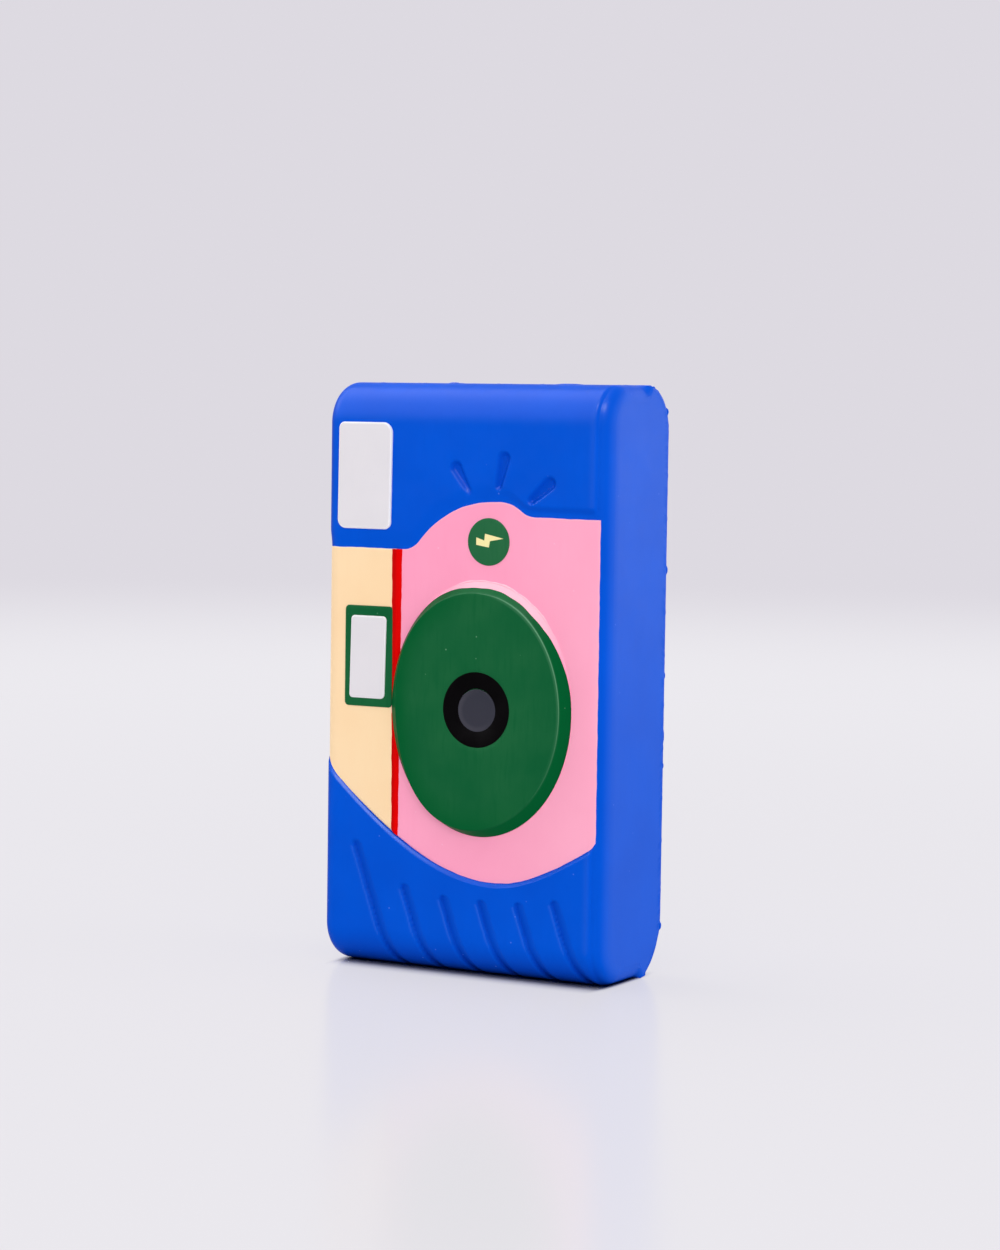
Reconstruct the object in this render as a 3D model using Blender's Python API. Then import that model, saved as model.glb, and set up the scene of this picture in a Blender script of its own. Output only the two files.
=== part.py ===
"""Camera stress ball: a squeeze toy of soft foam in the form of a single-use film camera.

The toy stands on its grip end. The lens face looks along -Y, +X is to the right of someone who looks at the
lens, and the stand end lies on Z = 0 with the origin at its centre. All sizes are in metres.

The body is one moulded block: a round-cornered side profile carried along X. The front mould half rounds
its side edges softly. The back half is a cover that meets it along the crisp back edges, and across the top
and the stand end where the back roundings begin. Every coat is the space between two such blocks, one drawn
in a little more than the other, cut to an outline on the lens face. So a coat follows the roundings by
itself, whatever the block measures.
"""

import math

import bmesh
import bpy

MM = 0.001

# Moulded block
BODY_WIDTH = 59.0 * MM
BODY_DEPTH = 24.1 * MM
BODY_HEIGHT = 108.0 * MM
PROFILE_RADIUS = 7.6 * MM
BACK_PROFILE_RADIUS = 9.6 * MM
SIDE_EDGE_RADIUS = 3.0 * MM
BACK_EDGE_RADIUS = 0.8 * MM
EDGE_RUN_OUT = 1.2 * MM

# Skin, coats and fits
CLEARANCE = 0.3 * MM
SKIN_WALL = 1.9 * MM
COAT = 0.4 * MM

# Sunk picture band and the sunk strip along the right edge
BAND_RELIEF = 0.5 * MM
BAND_SIDE_RELIEF = 0.15 * MM
BAND_LAND = 0.4 * MM
BAND_BEVEL = 0.9 * MM
RIGHT_STRIP = 2.4 * MM
COAT_RIGHT_MARGIN = 1.5 * MM
COAT_WRAP = 5.0 * MM

# Red stripe, which starts where the cream coat ends
STRIPE_WIDTH = 1.6 * MM

# Oval lens, placed from the middle of the lens face
LENS_HALF_WIDTH = 18.2 * MM
LENS_HALF_HEIGHT = 22.4 * MM
LENS_RIGHT_OF_MIDDLE = 4.2 * MM
LENS_BELOW_MIDDLE = 5.2 * MM
LENS_TO_CREAM = 1.0 * MM
LENS_RISE = 2.1 * MM
LENS_SHOULDER = 1.5 * MM
LENS_RING_RADIUS = 6.85 * MM
LENS_RING_THICKNESS = 0.6 * MM
LENS_PUPIL_RADIUS = 3.9 * MM
LENS_PUPIL_SUNK = 0.25 * MM

# Flash badge above the lens
BADGE_RADIUS = 4.3 * MM
BADGE_TO_LENS = 4.1 * MM
BADGE_OFFSET = 1.0 * MM
BADGE_RISE = 0.25 * MM

# Crest: the upper edge of the picture band, which swells over the badge
CREST_OVER_BADGE = 3.0 * MM
CREST_FLAT = 1.3 * MM
CREST_LEFT_DROP = 9.1 * MM
CREST_LEFT_RADIUS = 20.0 * MM
CREST_RIGHT_DROP = 2.65 * MM
CREST_RIGHT_RADIUS = 10.0 * MM
CREST_FILLET = 4.0 * MM

# Scoop: the lower edge of the picture band, which sweeps under the lens
SCOOP_UNDER_LENS = 8.5 * MM
SCOOP_OFFSET = 2.4 * MM
SCOOP_LEFT_SLOPE = 0.85
SCOOP_LEFT_SOFTNESS = 18.2 * MM
SCOOP_RIGHT_SLOPE = 0.70
SCOOP_RIGHT_SOFTNESS = 13.3 * MM

# Ray dents that fan out above the badge
RAY_ANGLES = (-26.0, 12.0, 50.0)
RAY_STARTS = (9.3 * MM, 9.3 * MM, 11.2 * MM)
RAY_LENGTHS = (6.4 * MM, 7.0 * MM, 6.2 * MM)
RAY_INNER_WIDTH = 0.9 * MM
RAY_OUTER_WIDTH = 2.0 * MM
RAY_DEPTH = 0.45 * MM

# Slanted grip grooves, which run over the rounding of the stand end
GROOVE_TOPS = (23.0 * MM, 15.7 * MM, 14.3 * MM, 14.1 * MM, 14.3 * MM, 15.3 * MM)
GROOVE_FROM_LEFT = 16.0 * MM
GROOVE_PITCH = 7.8 * MM
GROOVE_WIDTH = 1.2 * MM
GROOVE_DEPTH = 0.4 * MM
GROOVE_LEAN = 0.36

# Flash window on the shutter end
FLASH_WIDTH = 11.4 * MM
FLASH_EDGE_GAP = 0.3 * MM
FLASH_OVER_CREST = 3.3 * MM
FLASH_CORNER = 1.2 * MM
FLASH_SEAT = 0.8 * MM
FLASH_RISE = 0.5 * MM

# Viewfinder beside the lens
FINDER_LEFT_MARGIN = 4.5 * MM
FINDER_HEIGHT = 18.4 * MM
FINDER_UNDER_LENS_MIDDLE = 0.4 * MM
FINDER_SIDE_BAR = 1.1 * MM
FINDER_END_BAR = 1.6 * MM
FINDER_CORNER = 0.8 * MM
FINDER_FRAME_RISE = 0.2 * MM
FINDER_WINDOW_RISE = 0.45 * MM

# Softening of raised edges, and how finely curves are faceted
PAD_EDGE = 0.35 * MM
LEAST_RADIUS = 0.2 * MM
OUTLINE_STEP = 2.2 * MM
CORNER_STEPS = 6
SHOULDER_STEPS = 4
ROUND_STEPS = 48
OVERSHOOT = 4.0 * MM

# Places that follow from the sizes above
FRONT = BODY_DEPTH / 2
BAND_FRONT = FRONT - BAND_RELIEF
LEFT = -BODY_WIDTH / 2
RIGHT = BODY_WIDTH / 2
PARTING_Y = BODY_DEPTH / 2 - BACK_PROFILE_RADIUS
MITRE_GAP = CLEARANCE / math.sqrt(2)
LENS_X = (LEFT + RIGHT) / 2 + LENS_RIGHT_OF_MIDDLE
LENS_Z = BODY_HEIGHT / 2 - LENS_BELOW_MIDDLE
CREAM_WIDTH = LENS_X - LENS_HALF_WIDTH - LENS_TO_CREAM - LEFT
STRIPE_LEFT = LEFT + CREAM_WIDTH
STRIPE_RIGHT = STRIPE_LEFT + STRIPE_WIDTH
COAT_RIGHT = RIGHT - COAT_RIGHT_MARGIN
BADGE_X = LENS_X + BADGE_OFFSET
BADGE_Z = LENS_Z + LENS_HALF_HEIGHT + BADGE_TO_LENS + BADGE_RADIUS
CREST_TOP = BADGE_Z + BADGE_RADIUS + CREST_OVER_BADGE
CREST_LEFT = CREST_TOP - CREST_LEFT_DROP
SCOOP_X = LENS_X + SCOOP_OFFSET
SCOOP_LOW = LENS_Z - LENS_HALF_HEIGHT - SCOOP_UNDER_LENS


def clear_scene():
    """Remove what the scene holds."""
    for item in list(bpy.data.objects):
        bpy.data.objects.remove(item, do_unlink=True)


def loft(name, rings):
    """Return an object that joins closed rings of points in turn, with a flat cap at each end."""
    shape = bmesh.new()
    loops = [[shape.verts.new(point) for point in ring] for ring in rings]
    for near, far in zip(loops, loops[1:]):
        for i in range(len(near)):
            shape.faces.new((near[i - 1], near[i], far[i], far[i - 1]))
    shape.faces.new(loops[0])
    shape.faces.new(loops[-1])
    bmesh.ops.recalc_face_normals(shape, faces=shape.faces)
    mesh = bpy.data.meshes.new(name)
    shape.to_mesh(mesh)
    shape.free()
    item = bpy.data.objects.new(name, mesh)
    bpy.context.collection.objects.link(item)
    return item


def prism(name, outline, stations):
    """Return a solid along Y: the outline grown by each station's amount, at that station's depth."""
    return loft(name, [[(x, y, z) for x, z in outline(grow)] for y, grow in stations])


def as_cutter(item):
    """Keep an object as a tool for cutting only."""
    item.hide_render = True
    item.display_type = 'WIRE'
    return item


def combine(item, tool, operation):
    """Add a live Boolean of the tool to the object."""
    modifier = item.modifiers.new(operation.lower(), 'BOOLEAN')
    modifier.operation = operation
    modifier.solver = 'EXACT'
    modifier.object = tool


def coat_material(item, colour, roughness):
    """Give the object a paint of its own."""
    material = bpy.data.materials.new(item.name)
    material.use_nodes = True
    paint = material.node_tree.nodes['Principled BSDF']
    paint.inputs['Base Color'].default_value = (*colour, 1.0)
    paint.inputs['Roughness'].default_value = roughness
    paint.inputs['Metallic'].default_value = 0.0
    item.data.materials.append(material)
    return item


def shade_round(item):
    """Shade a round piece smooth, apart from its sharp edges."""
    item.data.shade_smooth()
    item.data.set_sharp_from_angle(angle=math.radians(35))
    return item


# Outlines on the lens face, as points (x, z) in order

def round_rectangle(low_u, high_u, low_v, high_v, radius):
    """Return a rectangle whose four corners are arcs."""
    corners = (
        (high_u - radius, high_v - radius, 0),
        (low_u + radius, high_v - radius, 1),
        (low_u + radius, low_v + radius, 2),
        (high_u - radius, low_v + radius, 3),
    )
    points = []
    for u, v, quarter in corners:
        for step in range(CORNER_STEPS + 1):
            angle = (quarter + step / CORNER_STEPS) * math.pi / 2
            points.append((u + radius * math.cos(angle), v + radius * math.sin(angle)))
    return points


def oval(x, z, half_width, half_height):
    """Return an outline rule for an ellipse, which can be grown."""
    def outline(grow):
        turns = [2 * math.pi * step / ROUND_STEPS for step in range(ROUND_STEPS)]
        wide = half_width + grow
        high = half_height + grow
        return [(x + wide * math.cos(turn), z + high * math.sin(turn)) for turn in turns]
    return outline


def panel(low_x, high_x, low_z, high_z, corner):
    """Return an outline rule for a rectangle with round corners, which can be grown."""
    def outline(grow):
        radius = max(corner + grow, LEAST_RADIUS)
        return round_rectangle(low_x - grow, high_x + grow, low_z - grow, high_z + grow, radius)
    return outline


def shoulder_height(run, drop, radius):
    """Return how far a crest has come down, a run away from its top.

    The crest falls along an arc of the given radius, then turns through a fillet into its lower level.
    """
    rise = radius + CREST_FILLET - drop
    fillet_run = math.sqrt((radius + CREST_FILLET) ** 2 - rise ** 2)
    meeting = fillet_run * radius / (radius + CREST_FILLET)
    if run <= 0:
        return 0.0
    if run <= meeting:
        return radius - math.sqrt(radius ** 2 - run ** 2)
    if run < fillet_run:
        return drop - CREST_FILLET + math.sqrt(CREST_FILLET ** 2 - (fillet_run - run) ** 2)
    return drop


def crest(x):
    """Return the height of the picture band's upper edge at x."""
    if x < BADGE_X + CREST_FLAT:
        return CREST_TOP - shoulder_height(BADGE_X + CREST_FLAT - x, CREST_LEFT_DROP, CREST_LEFT_RADIUS)
    return CREST_TOP - shoulder_height(x - BADGE_X - 2 * CREST_FLAT, CREST_RIGHT_DROP, CREST_RIGHT_RADIUS)


def scoop(x):
    """Return the height of the picture band's lower edge at x: two half hyperbolas with one low point."""
    run = x - SCOOP_X
    slope, softness = SCOOP_LEFT_SLOPE, SCOOP_LEFT_SOFTNESS
    if run > 0:
        slope, softness = SCOOP_RIGHT_SLOPE, SCOOP_RIGHT_SOFTNESS
    return SCOOP_LOW + slope * (math.hypot(softness, run) - softness)


def grown_edge(edge, x, grow):
    """Return an edge's height at x, moved square to itself by grow."""
    reach = OUTLINE_STEP / 4
    slope = (edge(x + reach) - edge(x - reach)) / (2 * reach)
    return edge(x) + grow * math.hypot(1.0, slope)


def step_count(low, high):
    """Return how many facets an edge gets between two places."""
    return max(1, math.ceil((high - low) / OUTLINE_STEP))


def spread(low, high, count):
    """Return evenly spaced places from low to high."""
    return [low + (high - low) * step / count for step in range(count + 1)]


def band_edges(places, grow):
    """Return the picture band's lower edge from left to right, and its upper edge from right to left."""
    lower = [(x, grown_edge(scoop, x, -grow)) for x in places]
    upper = [(x, grown_edge(crest, x, grow)) for x in reversed(places)]
    return lower, upper


def band_piece(low_x, high_x):
    """Return an outline rule for the stretch of the picture band between two places along X."""
    count = step_count(low_x, high_x)

    def outline(grow):
        lower, upper = band_edges(spread(low_x - grow, high_x + grow, count), grow)
        return lower + upper
    return outline


def relief_outline(grow):
    """Return the sunk area of the lens face: the picture band, and the strip along the right edge."""
    low_x = LEFT - OVERSHOOT
    strip = RIGHT - RIGHT_STRIP
    count = step_count(low_x, strip)
    lower, upper = band_edges(spread(low_x, strip - grow, count), grow)
    outside = RIGHT + OVERSHOOT
    low_z = -OVERSHOOT
    high_z = BODY_HEIGHT + OVERSHOOT
    around = [(strip - grow, low_z), (outside, low_z), (outside, high_z), (strip - grow, high_z)]
    return lower + around + upper


# Blocks and solids that several pieces share

def edge_drop(reach, radius):
    """Return how far a rounded edge has dropped, a reach away from the side face."""
    short = max(radius - reach, 0.0)
    return radius - math.sqrt(radius ** 2 - short ** 2)


def side_profile(x, front, front_inset, back_inset):
    """Return the ring of the side profile at x, its front and back parts drawn in by their own insets."""
    front_y = PROFILE_RADIUS - front
    front_radius = PROFILE_RADIUS - front_inset
    back_radius = BACK_PROFILE_RADIUS - back_inset
    run_out = PARTING_Y - EDGE_RUN_OUT
    corners = (
        (PARTING_Y, BODY_HEIGHT - BACK_PROFILE_RADIUS, back_radius, 0),
        (front_y, BODY_HEIGHT - PROFILE_RADIUS, front_radius, 1),
        (front_y, PROFILE_RADIUS, front_radius, 2),
        (PARTING_Y, BACK_PROFILE_RADIUS, back_radius, 3),
    )
    points = []
    for y, z, radius, quarter in corners:
        if quarter == 1:
            points.append((x, run_out, BODY_HEIGHT - front_inset))
        if quarter == 3:
            points.append((x, run_out, front_inset))
        for step in range(CORNER_STEPS + 1):
            angle = (quarter + step / CORNER_STEPS) * math.pi / 2
            points.append((x, y + radius * math.cos(angle), z + radius * math.sin(angle)))
    return points


def body_block(name, front, inset):
    """Return the moulded block with its lens face at -front, drawn in by inset all over."""
    front_edge = max(SIDE_EDGE_RADIUS - inset, LEAST_RADIUS)
    back_edge = max(BACK_EDGE_RADIUS - inset, LEAST_RADIUS)
    turns = [math.pi / 2 * step / SHOULDER_STEPS for step in range(SHOULDER_STEPS + 1)]
    reaches = sorted({edge * (1 - math.sin(turn)) for edge in (front_edge, back_edge) for turn in turns})
    half = BODY_WIDTH / 2 - inset
    places = [(reach - half, reach) for reach in reaches]
    places += [(half - reach, reach) for reach in reversed(reaches)]
    rings = []
    for x, reach in places:
        front_inset = inset + edge_drop(reach, front_edge)
        back_inset = inset + edge_drop(reach, back_edge)
        rings.append(side_profile(x, front, front_inset, back_inset))
    return loft(name, rings)


def mitre_block(name, gap):
    """Return a cutting tool: the space that lies deeper below the profile than it lies in from a side."""
    deep = SKIN_WALL + OVERSHOOT / 2
    rings = []
    for side, reach in ((-1, -OVERSHOOT), (-1, deep), (1, deep), (1, -OVERSHOOT)):
        x = side * (BODY_WIDTH / 2 - reach)
        rings.append(side_profile(x, FRONT, reach + gap, reach + gap))
    return as_cutter(loft(name, rings))


def above_block(name, outline, stations, front, inset):
    """Return a cutting tool: the solid on an outline, down to a block's surface."""
    tool = as_cutter(prism(name, outline, stations))
    combine(tool, as_cutter(body_block(name + '_floor', front, inset)), 'DIFFERENCE')
    return tool


def half_space(name, low_y, high_y):
    """Return a cutting tool: everything between two depths."""
    outline = panel(LEFT - OVERSHOOT, RIGHT + OVERSHOOT, -OVERSHOOT, BODY_HEIGHT + OVERSHOOT, OVERSHOOT)
    return as_cutter(prism(name, outline, ((low_y, 0), (high_y, 0))))


def raised_stations(seat_y, top_y, edge):
    """Return the stations of a piece that rises from its seat to its face with a softened edge."""
    stations = [(seat_y, 0.0)]
    for step in range(SHOULDER_STEPS + 1):
        turn = math.pi / 2 * step / SHOULDER_STEPS
        stations.append((top_y + edge * (1 - math.sin(turn)), -edge * (1 - math.cos(turn))))
    return stations


def face_coat(name, low_x, high_x):
    """Return a coat on the picture band between two places along X, which follows the left rounding."""
    stations = ((-FRONT - OVERSHOOT, 0), (COAT_WRAP - FRONT, 0))
    item = prism(name, band_piece(low_x, high_x), stations)
    combine(item, as_cutter(body_block(name + '_outside', BAND_FRONT, BAND_SIDE_RELIEF)), 'INTERSECT')
    combine(item, as_cutter(body_block(name + '_inside', BAND_FRONT, BAND_SIDE_RELIEF + COAT)), 'DIFFERENCE')
    return item


def clear_of(item, name, outline):
    """Open an outline, grown by the clearance, right through a coat."""
    stations = ((-FRONT - OVERSHOOT, CLEARANCE), (COAT_WRAP - FRONT, CLEARANCE))
    combine(item, as_cutter(prism(name, outline, stations)), 'DIFFERENCE')


BAND_Y = BAND_SIDE_RELIEF - BAND_FRONT
COAT_SEAT_Y = BAND_Y + COAT
LENS_FACE_Y = BAND_Y - LENS_RISE

LENS_OUTLINE = oval(LENS_X, LENS_Z, LENS_HALF_WIDTH, LENS_HALF_HEIGHT)
BADGE_OUTLINE = oval(BADGE_X, BADGE_Z, BADGE_RADIUS, BADGE_RADIUS)
FINDER_LEFT = LEFT + FINDER_LEFT_MARGIN
FINDER_RIGHT = STRIPE_LEFT - CLEARANCE
FINDER_LOW = LENS_Z - FINDER_UNDER_LENS_MIDDLE
FINDER_OUTLINE = panel(FINDER_LEFT, FINDER_RIGHT, FINDER_LOW, FINDER_LOW + FINDER_HEIGHT, FINDER_CORNER)
WINDOW_OUTLINE = panel(
    FINDER_LEFT + FINDER_SIDE_BAR, FINDER_RIGHT - FINDER_SIDE_BAR,
    FINDER_LOW + FINDER_END_BAR, FINDER_LOW + FINDER_HEIGHT - FINDER_END_BAR, FINDER_CORNER)
FLASH_LEFT = LEFT + SIDE_EDGE_RADIUS + FLASH_EDGE_GAP
FLASH_OUTLINE = panel(
    FLASH_LEFT, FLASH_LEFT + FLASH_WIDTH,
    CREST_LEFT + FLASH_OVER_CREST, BODY_HEIGHT - PROFILE_RADIUS + FLASH_EDGE_GAP, FLASH_CORNER)


# Pieces

def make_foam_core():
    """Return the foam filling."""
    item = body_block('foam_core', BAND_FRONT, SKIN_WALL + CLEARANCE)
    return coat_material(item, (0.82, 0.80, 0.72), 0.9)


def ray_tools():
    """Return the cutting tools for the dents that fan out above the badge, wider at their outer ends."""
    tools = []
    rays = zip(RAY_ANGLES, RAY_STARTS, RAY_LENGTHS)
    for number, (angle, start, length) in enumerate(rays, start=1):
        along = (math.sin(math.radians(angle)), math.cos(math.radians(angle)))
        across = (along[1], -along[0])
        inner = (start, RAY_INNER_WIDTH / 2)
        outer = (start + length, RAY_OUTER_WIDTH / 2)
        corners = ((inner, -1), (outer, -1), (outer, 1), (inner, 1))

        def outline(grow, along=along, across=across, corners=corners):
            points = []
            for (run, half), side in corners:
                shift = side * (half + grow)
                x = BADGE_X + run * along[0] + shift * across[0]
                points.append((x, BADGE_Z + run * along[1] + shift * across[1]))
            return points

        stations = ((-FRONT - OVERSHOOT, 0), (RAY_DEPTH * 2 - FRONT, 0))
        tools.append(above_block(f'ray_tool_{number}', outline, stations, FRONT, RAY_DEPTH))
    return tools


def groove_tools():
    """Return the cutting tools for the grip grooves, each a leaning bar that passes the stand end."""
    tools = []
    for number, top_z in enumerate(GROOVE_TOPS):
        foot_x = LEFT + GROOVE_FROM_LEFT + number * GROOVE_PITCH

        def outline(grow, foot_x=foot_x, top_z=top_z):
            half = GROOVE_WIDTH / 2 + grow
            ends = ((-OVERSHOOT, -half), (-OVERSHOOT, half), (top_z, half), (top_z, -half))
            return [(foot_x - GROOVE_LEAN * z + side, z) for z, side in ends]

        stations = ((-FRONT - OVERSHOOT, 0), (PROFILE_RADIUS - FRONT, 0))
        tools.append(above_block(f'groove_tool_{number + 1}', outline, stations, FRONT, GROOVE_DEPTH))
    return tools


def make_front_skin():
    """Return the front mould half's skin, a tray with the relief of the lens face."""
    item = body_block('front_skin', FRONT, 0.0)
    relief = (
        (-FRONT - BAND_RELIEF, BAND_LAND + 2 * BAND_BEVEL),
        (-BAND_FRONT, BAND_LAND),
        (PROFILE_RADIUS - FRONT, BAND_LAND),
    )
    sunk = above_block('relief_tool', relief_outline, relief, BAND_FRONT, BAND_SIDE_RELIEF)
    combine(item, sunk, 'DIFFERENCE')
    pocket = ((-FRONT - OVERSHOOT, CLEARANCE), (COAT_WRAP + CLEARANCE - FRONT, CLEARANCE))
    floor = BAND_SIDE_RELIEF + COAT + CLEARANCE
    coats = band_piece(LEFT - OVERSHOOT, COAT_RIGHT)
    combine(item, above_block('coat_pocket_tool', coats, pocket, BAND_FRONT, floor), 'DIFFERENCE')
    seat = ((-FRONT - OVERSHOOT, CLEARANCE), (FLASH_SEAT - FRONT, CLEARANCE))
    combine(item, as_cutter(prism('flash_seat_tool', FLASH_OUTLINE, seat)), 'DIFFERENCE')
    for tool in ray_tools() + groove_tools():
        combine(item, tool, 'DIFFERENCE')
    combine(item, as_cutter(body_block('front_hollow_tool', BAND_FRONT, SKIN_WALL)), 'DIFFERENCE')
    cover = half_space('cover_room_tool', PARTING_Y - CLEARANCE / 2, BODY_DEPTH)
    combine(cover, mitre_block('front_mitre_tool', MITRE_GAP), 'DIFFERENCE')
    combine(item, cover, 'DIFFERENCE')
    return coat_material(item, (0.0, 0.085, 0.64), 0.45)


def make_back_skin():
    """Return the back mould half's skin, a cover over the back and its two roundings, with mitred ends."""
    item = body_block('back_skin', FRONT, 0.0)
    combine(item, as_cutter(body_block('back_hollow_tool', BAND_FRONT, SKIN_WALL)), 'DIFFERENCE')
    combine(item, half_space('ahead_of_parting_tool', -BODY_DEPTH, PARTING_Y + CLEARANCE / 2), 'DIFFERENCE')
    combine(item, mitre_block('back_mitre_tool', -MITRE_GAP), 'DIFFERENCE')
    return coat_material(item, (0.0, 0.085, 0.64), 0.45)


def make_cream_band():
    """Return the cream coat along the left edge, open round the viewfinder and clear of the lens."""
    item = face_coat('cream_band', LEFT - OVERSHOOT, STRIPE_LEFT - CLEARANCE)
    clear_of(item, 'cream_finder_tool', FINDER_OUTLINE)
    return coat_material(item, (0.99, 0.69, 0.40), 0.5)


def make_red_stripe():
    """Return the red stripe, narrowed where it passes the lens."""
    item = face_coat('red_stripe', STRIPE_LEFT, STRIPE_RIGHT)
    clear_of(item, 'stripe_lens_tool', LENS_OUTLINE)
    return coat_material(item, (0.75, 0.0, 0.0), 0.45)


def make_pink_panel():
    """Return the pink coat, open round the lens and the badge."""
    item = face_coat('pink_panel', STRIPE_RIGHT + CLEARANCE, COAT_RIGHT)
    clear_of(item, 'pink_lens_tool', LENS_OUTLINE)
    clear_of(item, 'pink_badge_tool', BADGE_OUTLINE)
    return coat_material(item, (1.0, 0.38, 0.55), 0.5)


def make_viewfinder_frame():
    """Return the green viewfinder frame, open round its window."""
    stations = raised_stations(COAT_SEAT_Y, BAND_Y - FINDER_FRAME_RISE, FINDER_FRAME_RISE)
    item = prism('viewfinder_frame', FINDER_OUTLINE, stations)
    clear_of(item, 'finder_window_tool', WINDOW_OUTLINE)
    return coat_material(item, (0.01, 0.12, 0.04), 0.45)


def make_viewfinder_window():
    """Return the raised viewfinder pane."""
    stations = raised_stations(COAT_SEAT_Y, BAND_Y - FINDER_WINDOW_RISE, PAD_EDGE)
    item = prism('viewfinder_window', WINDOW_OUTLINE, stations)
    return coat_material(item, (0.78, 0.75, 0.78), 0.4)


def make_flash_window():
    """Return the raised flash pane, seated in the shutter end."""
    stations = raised_stations(FLASH_SEAT - CLEARANCE - FRONT, -FRONT - FLASH_RISE, PAD_EDGE)
    item = prism('flash_window', FLASH_OUTLINE, stations)
    return coat_material(item, (0.78, 0.75, 0.78), 0.4)


def make_flash_badge():
    """Return the round badge above the lens."""
    stations = raised_stations(COAT_SEAT_Y, BAND_Y - BADGE_RISE, BADGE_RISE)
    item = prism('flash_badge', BADGE_OUTLINE, stations)
    return shade_round(coat_material(item, (0.02, 0.15, 0.05), 0.45))


def make_lens_disc():
    """Return the oval lens mount with its soft shoulder and the round pocket for the ring."""
    item = prism('lens_disc', LENS_OUTLINE, raised_stations(COAT_SEAT_Y, LENS_FACE_Y, LENS_SHOULDER))
    pocket = oval(LENS_X, LENS_Z, LENS_RING_RADIUS + CLEARANCE, LENS_RING_RADIUS + CLEARANCE)
    stations = ((LENS_FACE_Y - OVERSHOOT, 0), (LENS_FACE_Y + LENS_RING_THICKNESS + CLEARANCE, 0))
    combine(item, as_cutter(prism('ring_pocket_tool', pocket, stations)), 'DIFFERENCE')
    return shade_round(coat_material(item, (0.01, 0.12, 0.04), 0.4))


def make_lens_ring():
    """Return the black ring, flush with the lens mount."""
    outline = oval(LENS_X, LENS_Z, LENS_RING_RADIUS, LENS_RING_RADIUS)
    item = prism('lens_ring', outline, ((LENS_FACE_Y + LENS_RING_THICKNESS, 0), (LENS_FACE_Y, 0)))
    inner = oval(LENS_X, LENS_Z, LENS_PUPIL_RADIUS + CLEARANCE, LENS_PUPIL_RADIUS + CLEARANCE)
    stations = ((LENS_FACE_Y - OVERSHOOT, 0), (LENS_FACE_Y + OVERSHOOT, 0))
    combine(item, as_cutter(prism('ring_bore_tool', inner, stations)), 'DIFFERENCE')
    return shade_round(coat_material(item, (0.004, 0.003, 0.004), 0.4))


def make_lens_pupil():
    """Return the dark grey middle of the lens, a little below the ring."""
    outline = oval(LENS_X, LENS_Z, LENS_PUPIL_RADIUS, LENS_PUPIL_RADIUS)
    stations = ((LENS_FACE_Y + LENS_RING_THICKNESS, 0), (LENS_FACE_Y + LENS_PUPIL_SUNK, 0))
    item = prism('lens_pupil', outline, stations)
    return shade_round(coat_material(item, (0.045, 0.048, 0.065), 0.4))


def main():
    """Build every piece of the toy."""
    clear_scene()
    make_foam_core()
    make_front_skin()
    make_back_skin()
    make_cream_band()
    make_red_stripe()
    make_pink_panel()
    make_viewfinder_frame()
    make_viewfinder_window()
    make_flash_window()
    make_flash_badge()
    make_lens_disc()
    make_lens_ring()
    make_lens_pupil()


main()
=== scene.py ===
"""Dresses the camera stress ball, a foam squeeze toy in the form of a single-use film camera."""
import logging
import math
from dataclasses import dataclass
from enum import Enum

import bmesh
import bpy
import numpy as np
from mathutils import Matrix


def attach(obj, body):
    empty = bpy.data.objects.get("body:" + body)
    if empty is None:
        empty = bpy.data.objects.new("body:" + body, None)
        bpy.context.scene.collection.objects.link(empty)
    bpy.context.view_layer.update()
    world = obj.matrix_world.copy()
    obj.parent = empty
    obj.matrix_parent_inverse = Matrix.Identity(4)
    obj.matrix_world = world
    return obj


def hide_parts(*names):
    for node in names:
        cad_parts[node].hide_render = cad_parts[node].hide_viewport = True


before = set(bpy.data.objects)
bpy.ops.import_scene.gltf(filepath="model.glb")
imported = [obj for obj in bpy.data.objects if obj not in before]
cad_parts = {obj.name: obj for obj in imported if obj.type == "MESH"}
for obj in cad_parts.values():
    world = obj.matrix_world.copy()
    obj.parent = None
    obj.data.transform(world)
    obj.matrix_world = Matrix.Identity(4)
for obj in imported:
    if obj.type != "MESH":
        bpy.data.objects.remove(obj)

Array = np.ndarray
Pair = tuple[float, float]
Place = tuple[float, float, float]
Colour = tuple[float, float, float]
Tree = bpy.types.NodeTree
Socket = bpy.types.NodeSocket
MM = 0.001
WELD = 0.001 * MM
QUARTER = math.pi / 2
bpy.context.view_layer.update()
LOG = logging.getLogger("stress_ball")


class Slot(Enum):
    """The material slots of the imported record."""

    BLUE = "blue_skin"
    CREAM = "cream_coat"
    RED = "red_coat"
    PINK = "pink_coat"
    GREEN = "green_coat"
    WINDOW = "window_coat"
    BLACK = "black_coat"
    PUPIL = "pupil_coat"


def ease(value: Array) -> Array:
    """Smooth step: 0 below 0, 1 above 1, and 3v squared less 2v cubed between."""
    v = np.clip(value, 0.0, 1.0)
    return v * v * (3.0 - 2.0 * v)


def ramp(value: Array, start_and_run: Pair) -> Array:
    """Smooth step from 0 at a start to 1 one run further on."""
    return ease((value - start_and_run[0]) / start_and_run[1])


def hump(value: Array, centre: Array | float, half: Array | float) -> Array:
    """Smooth hump: 1 at the centre, and 0 from half a width to either side."""
    return ease(1.0 - np.abs(value - centre) / half)


def between(ends: Pair, share: Array) -> Array:
    """The first end plus a share of the way to the second."""
    return ends[0] + (ends[1] - ends[0]) * share


def around(count: int) -> Array:
    """Angles of that many points, spaced evenly round a circle."""
    return np.arange(count) * 2.0 * math.pi / count


def rounding(run: Array, radius: float) -> Array:
    """Drop of a rounded edge, a run inwards: r less the root of r squared less (r - run) squared."""
    left = np.clip(radius - run, 0.0, radius)
    return radius - np.sqrt(radius * radius - left * left)


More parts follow.
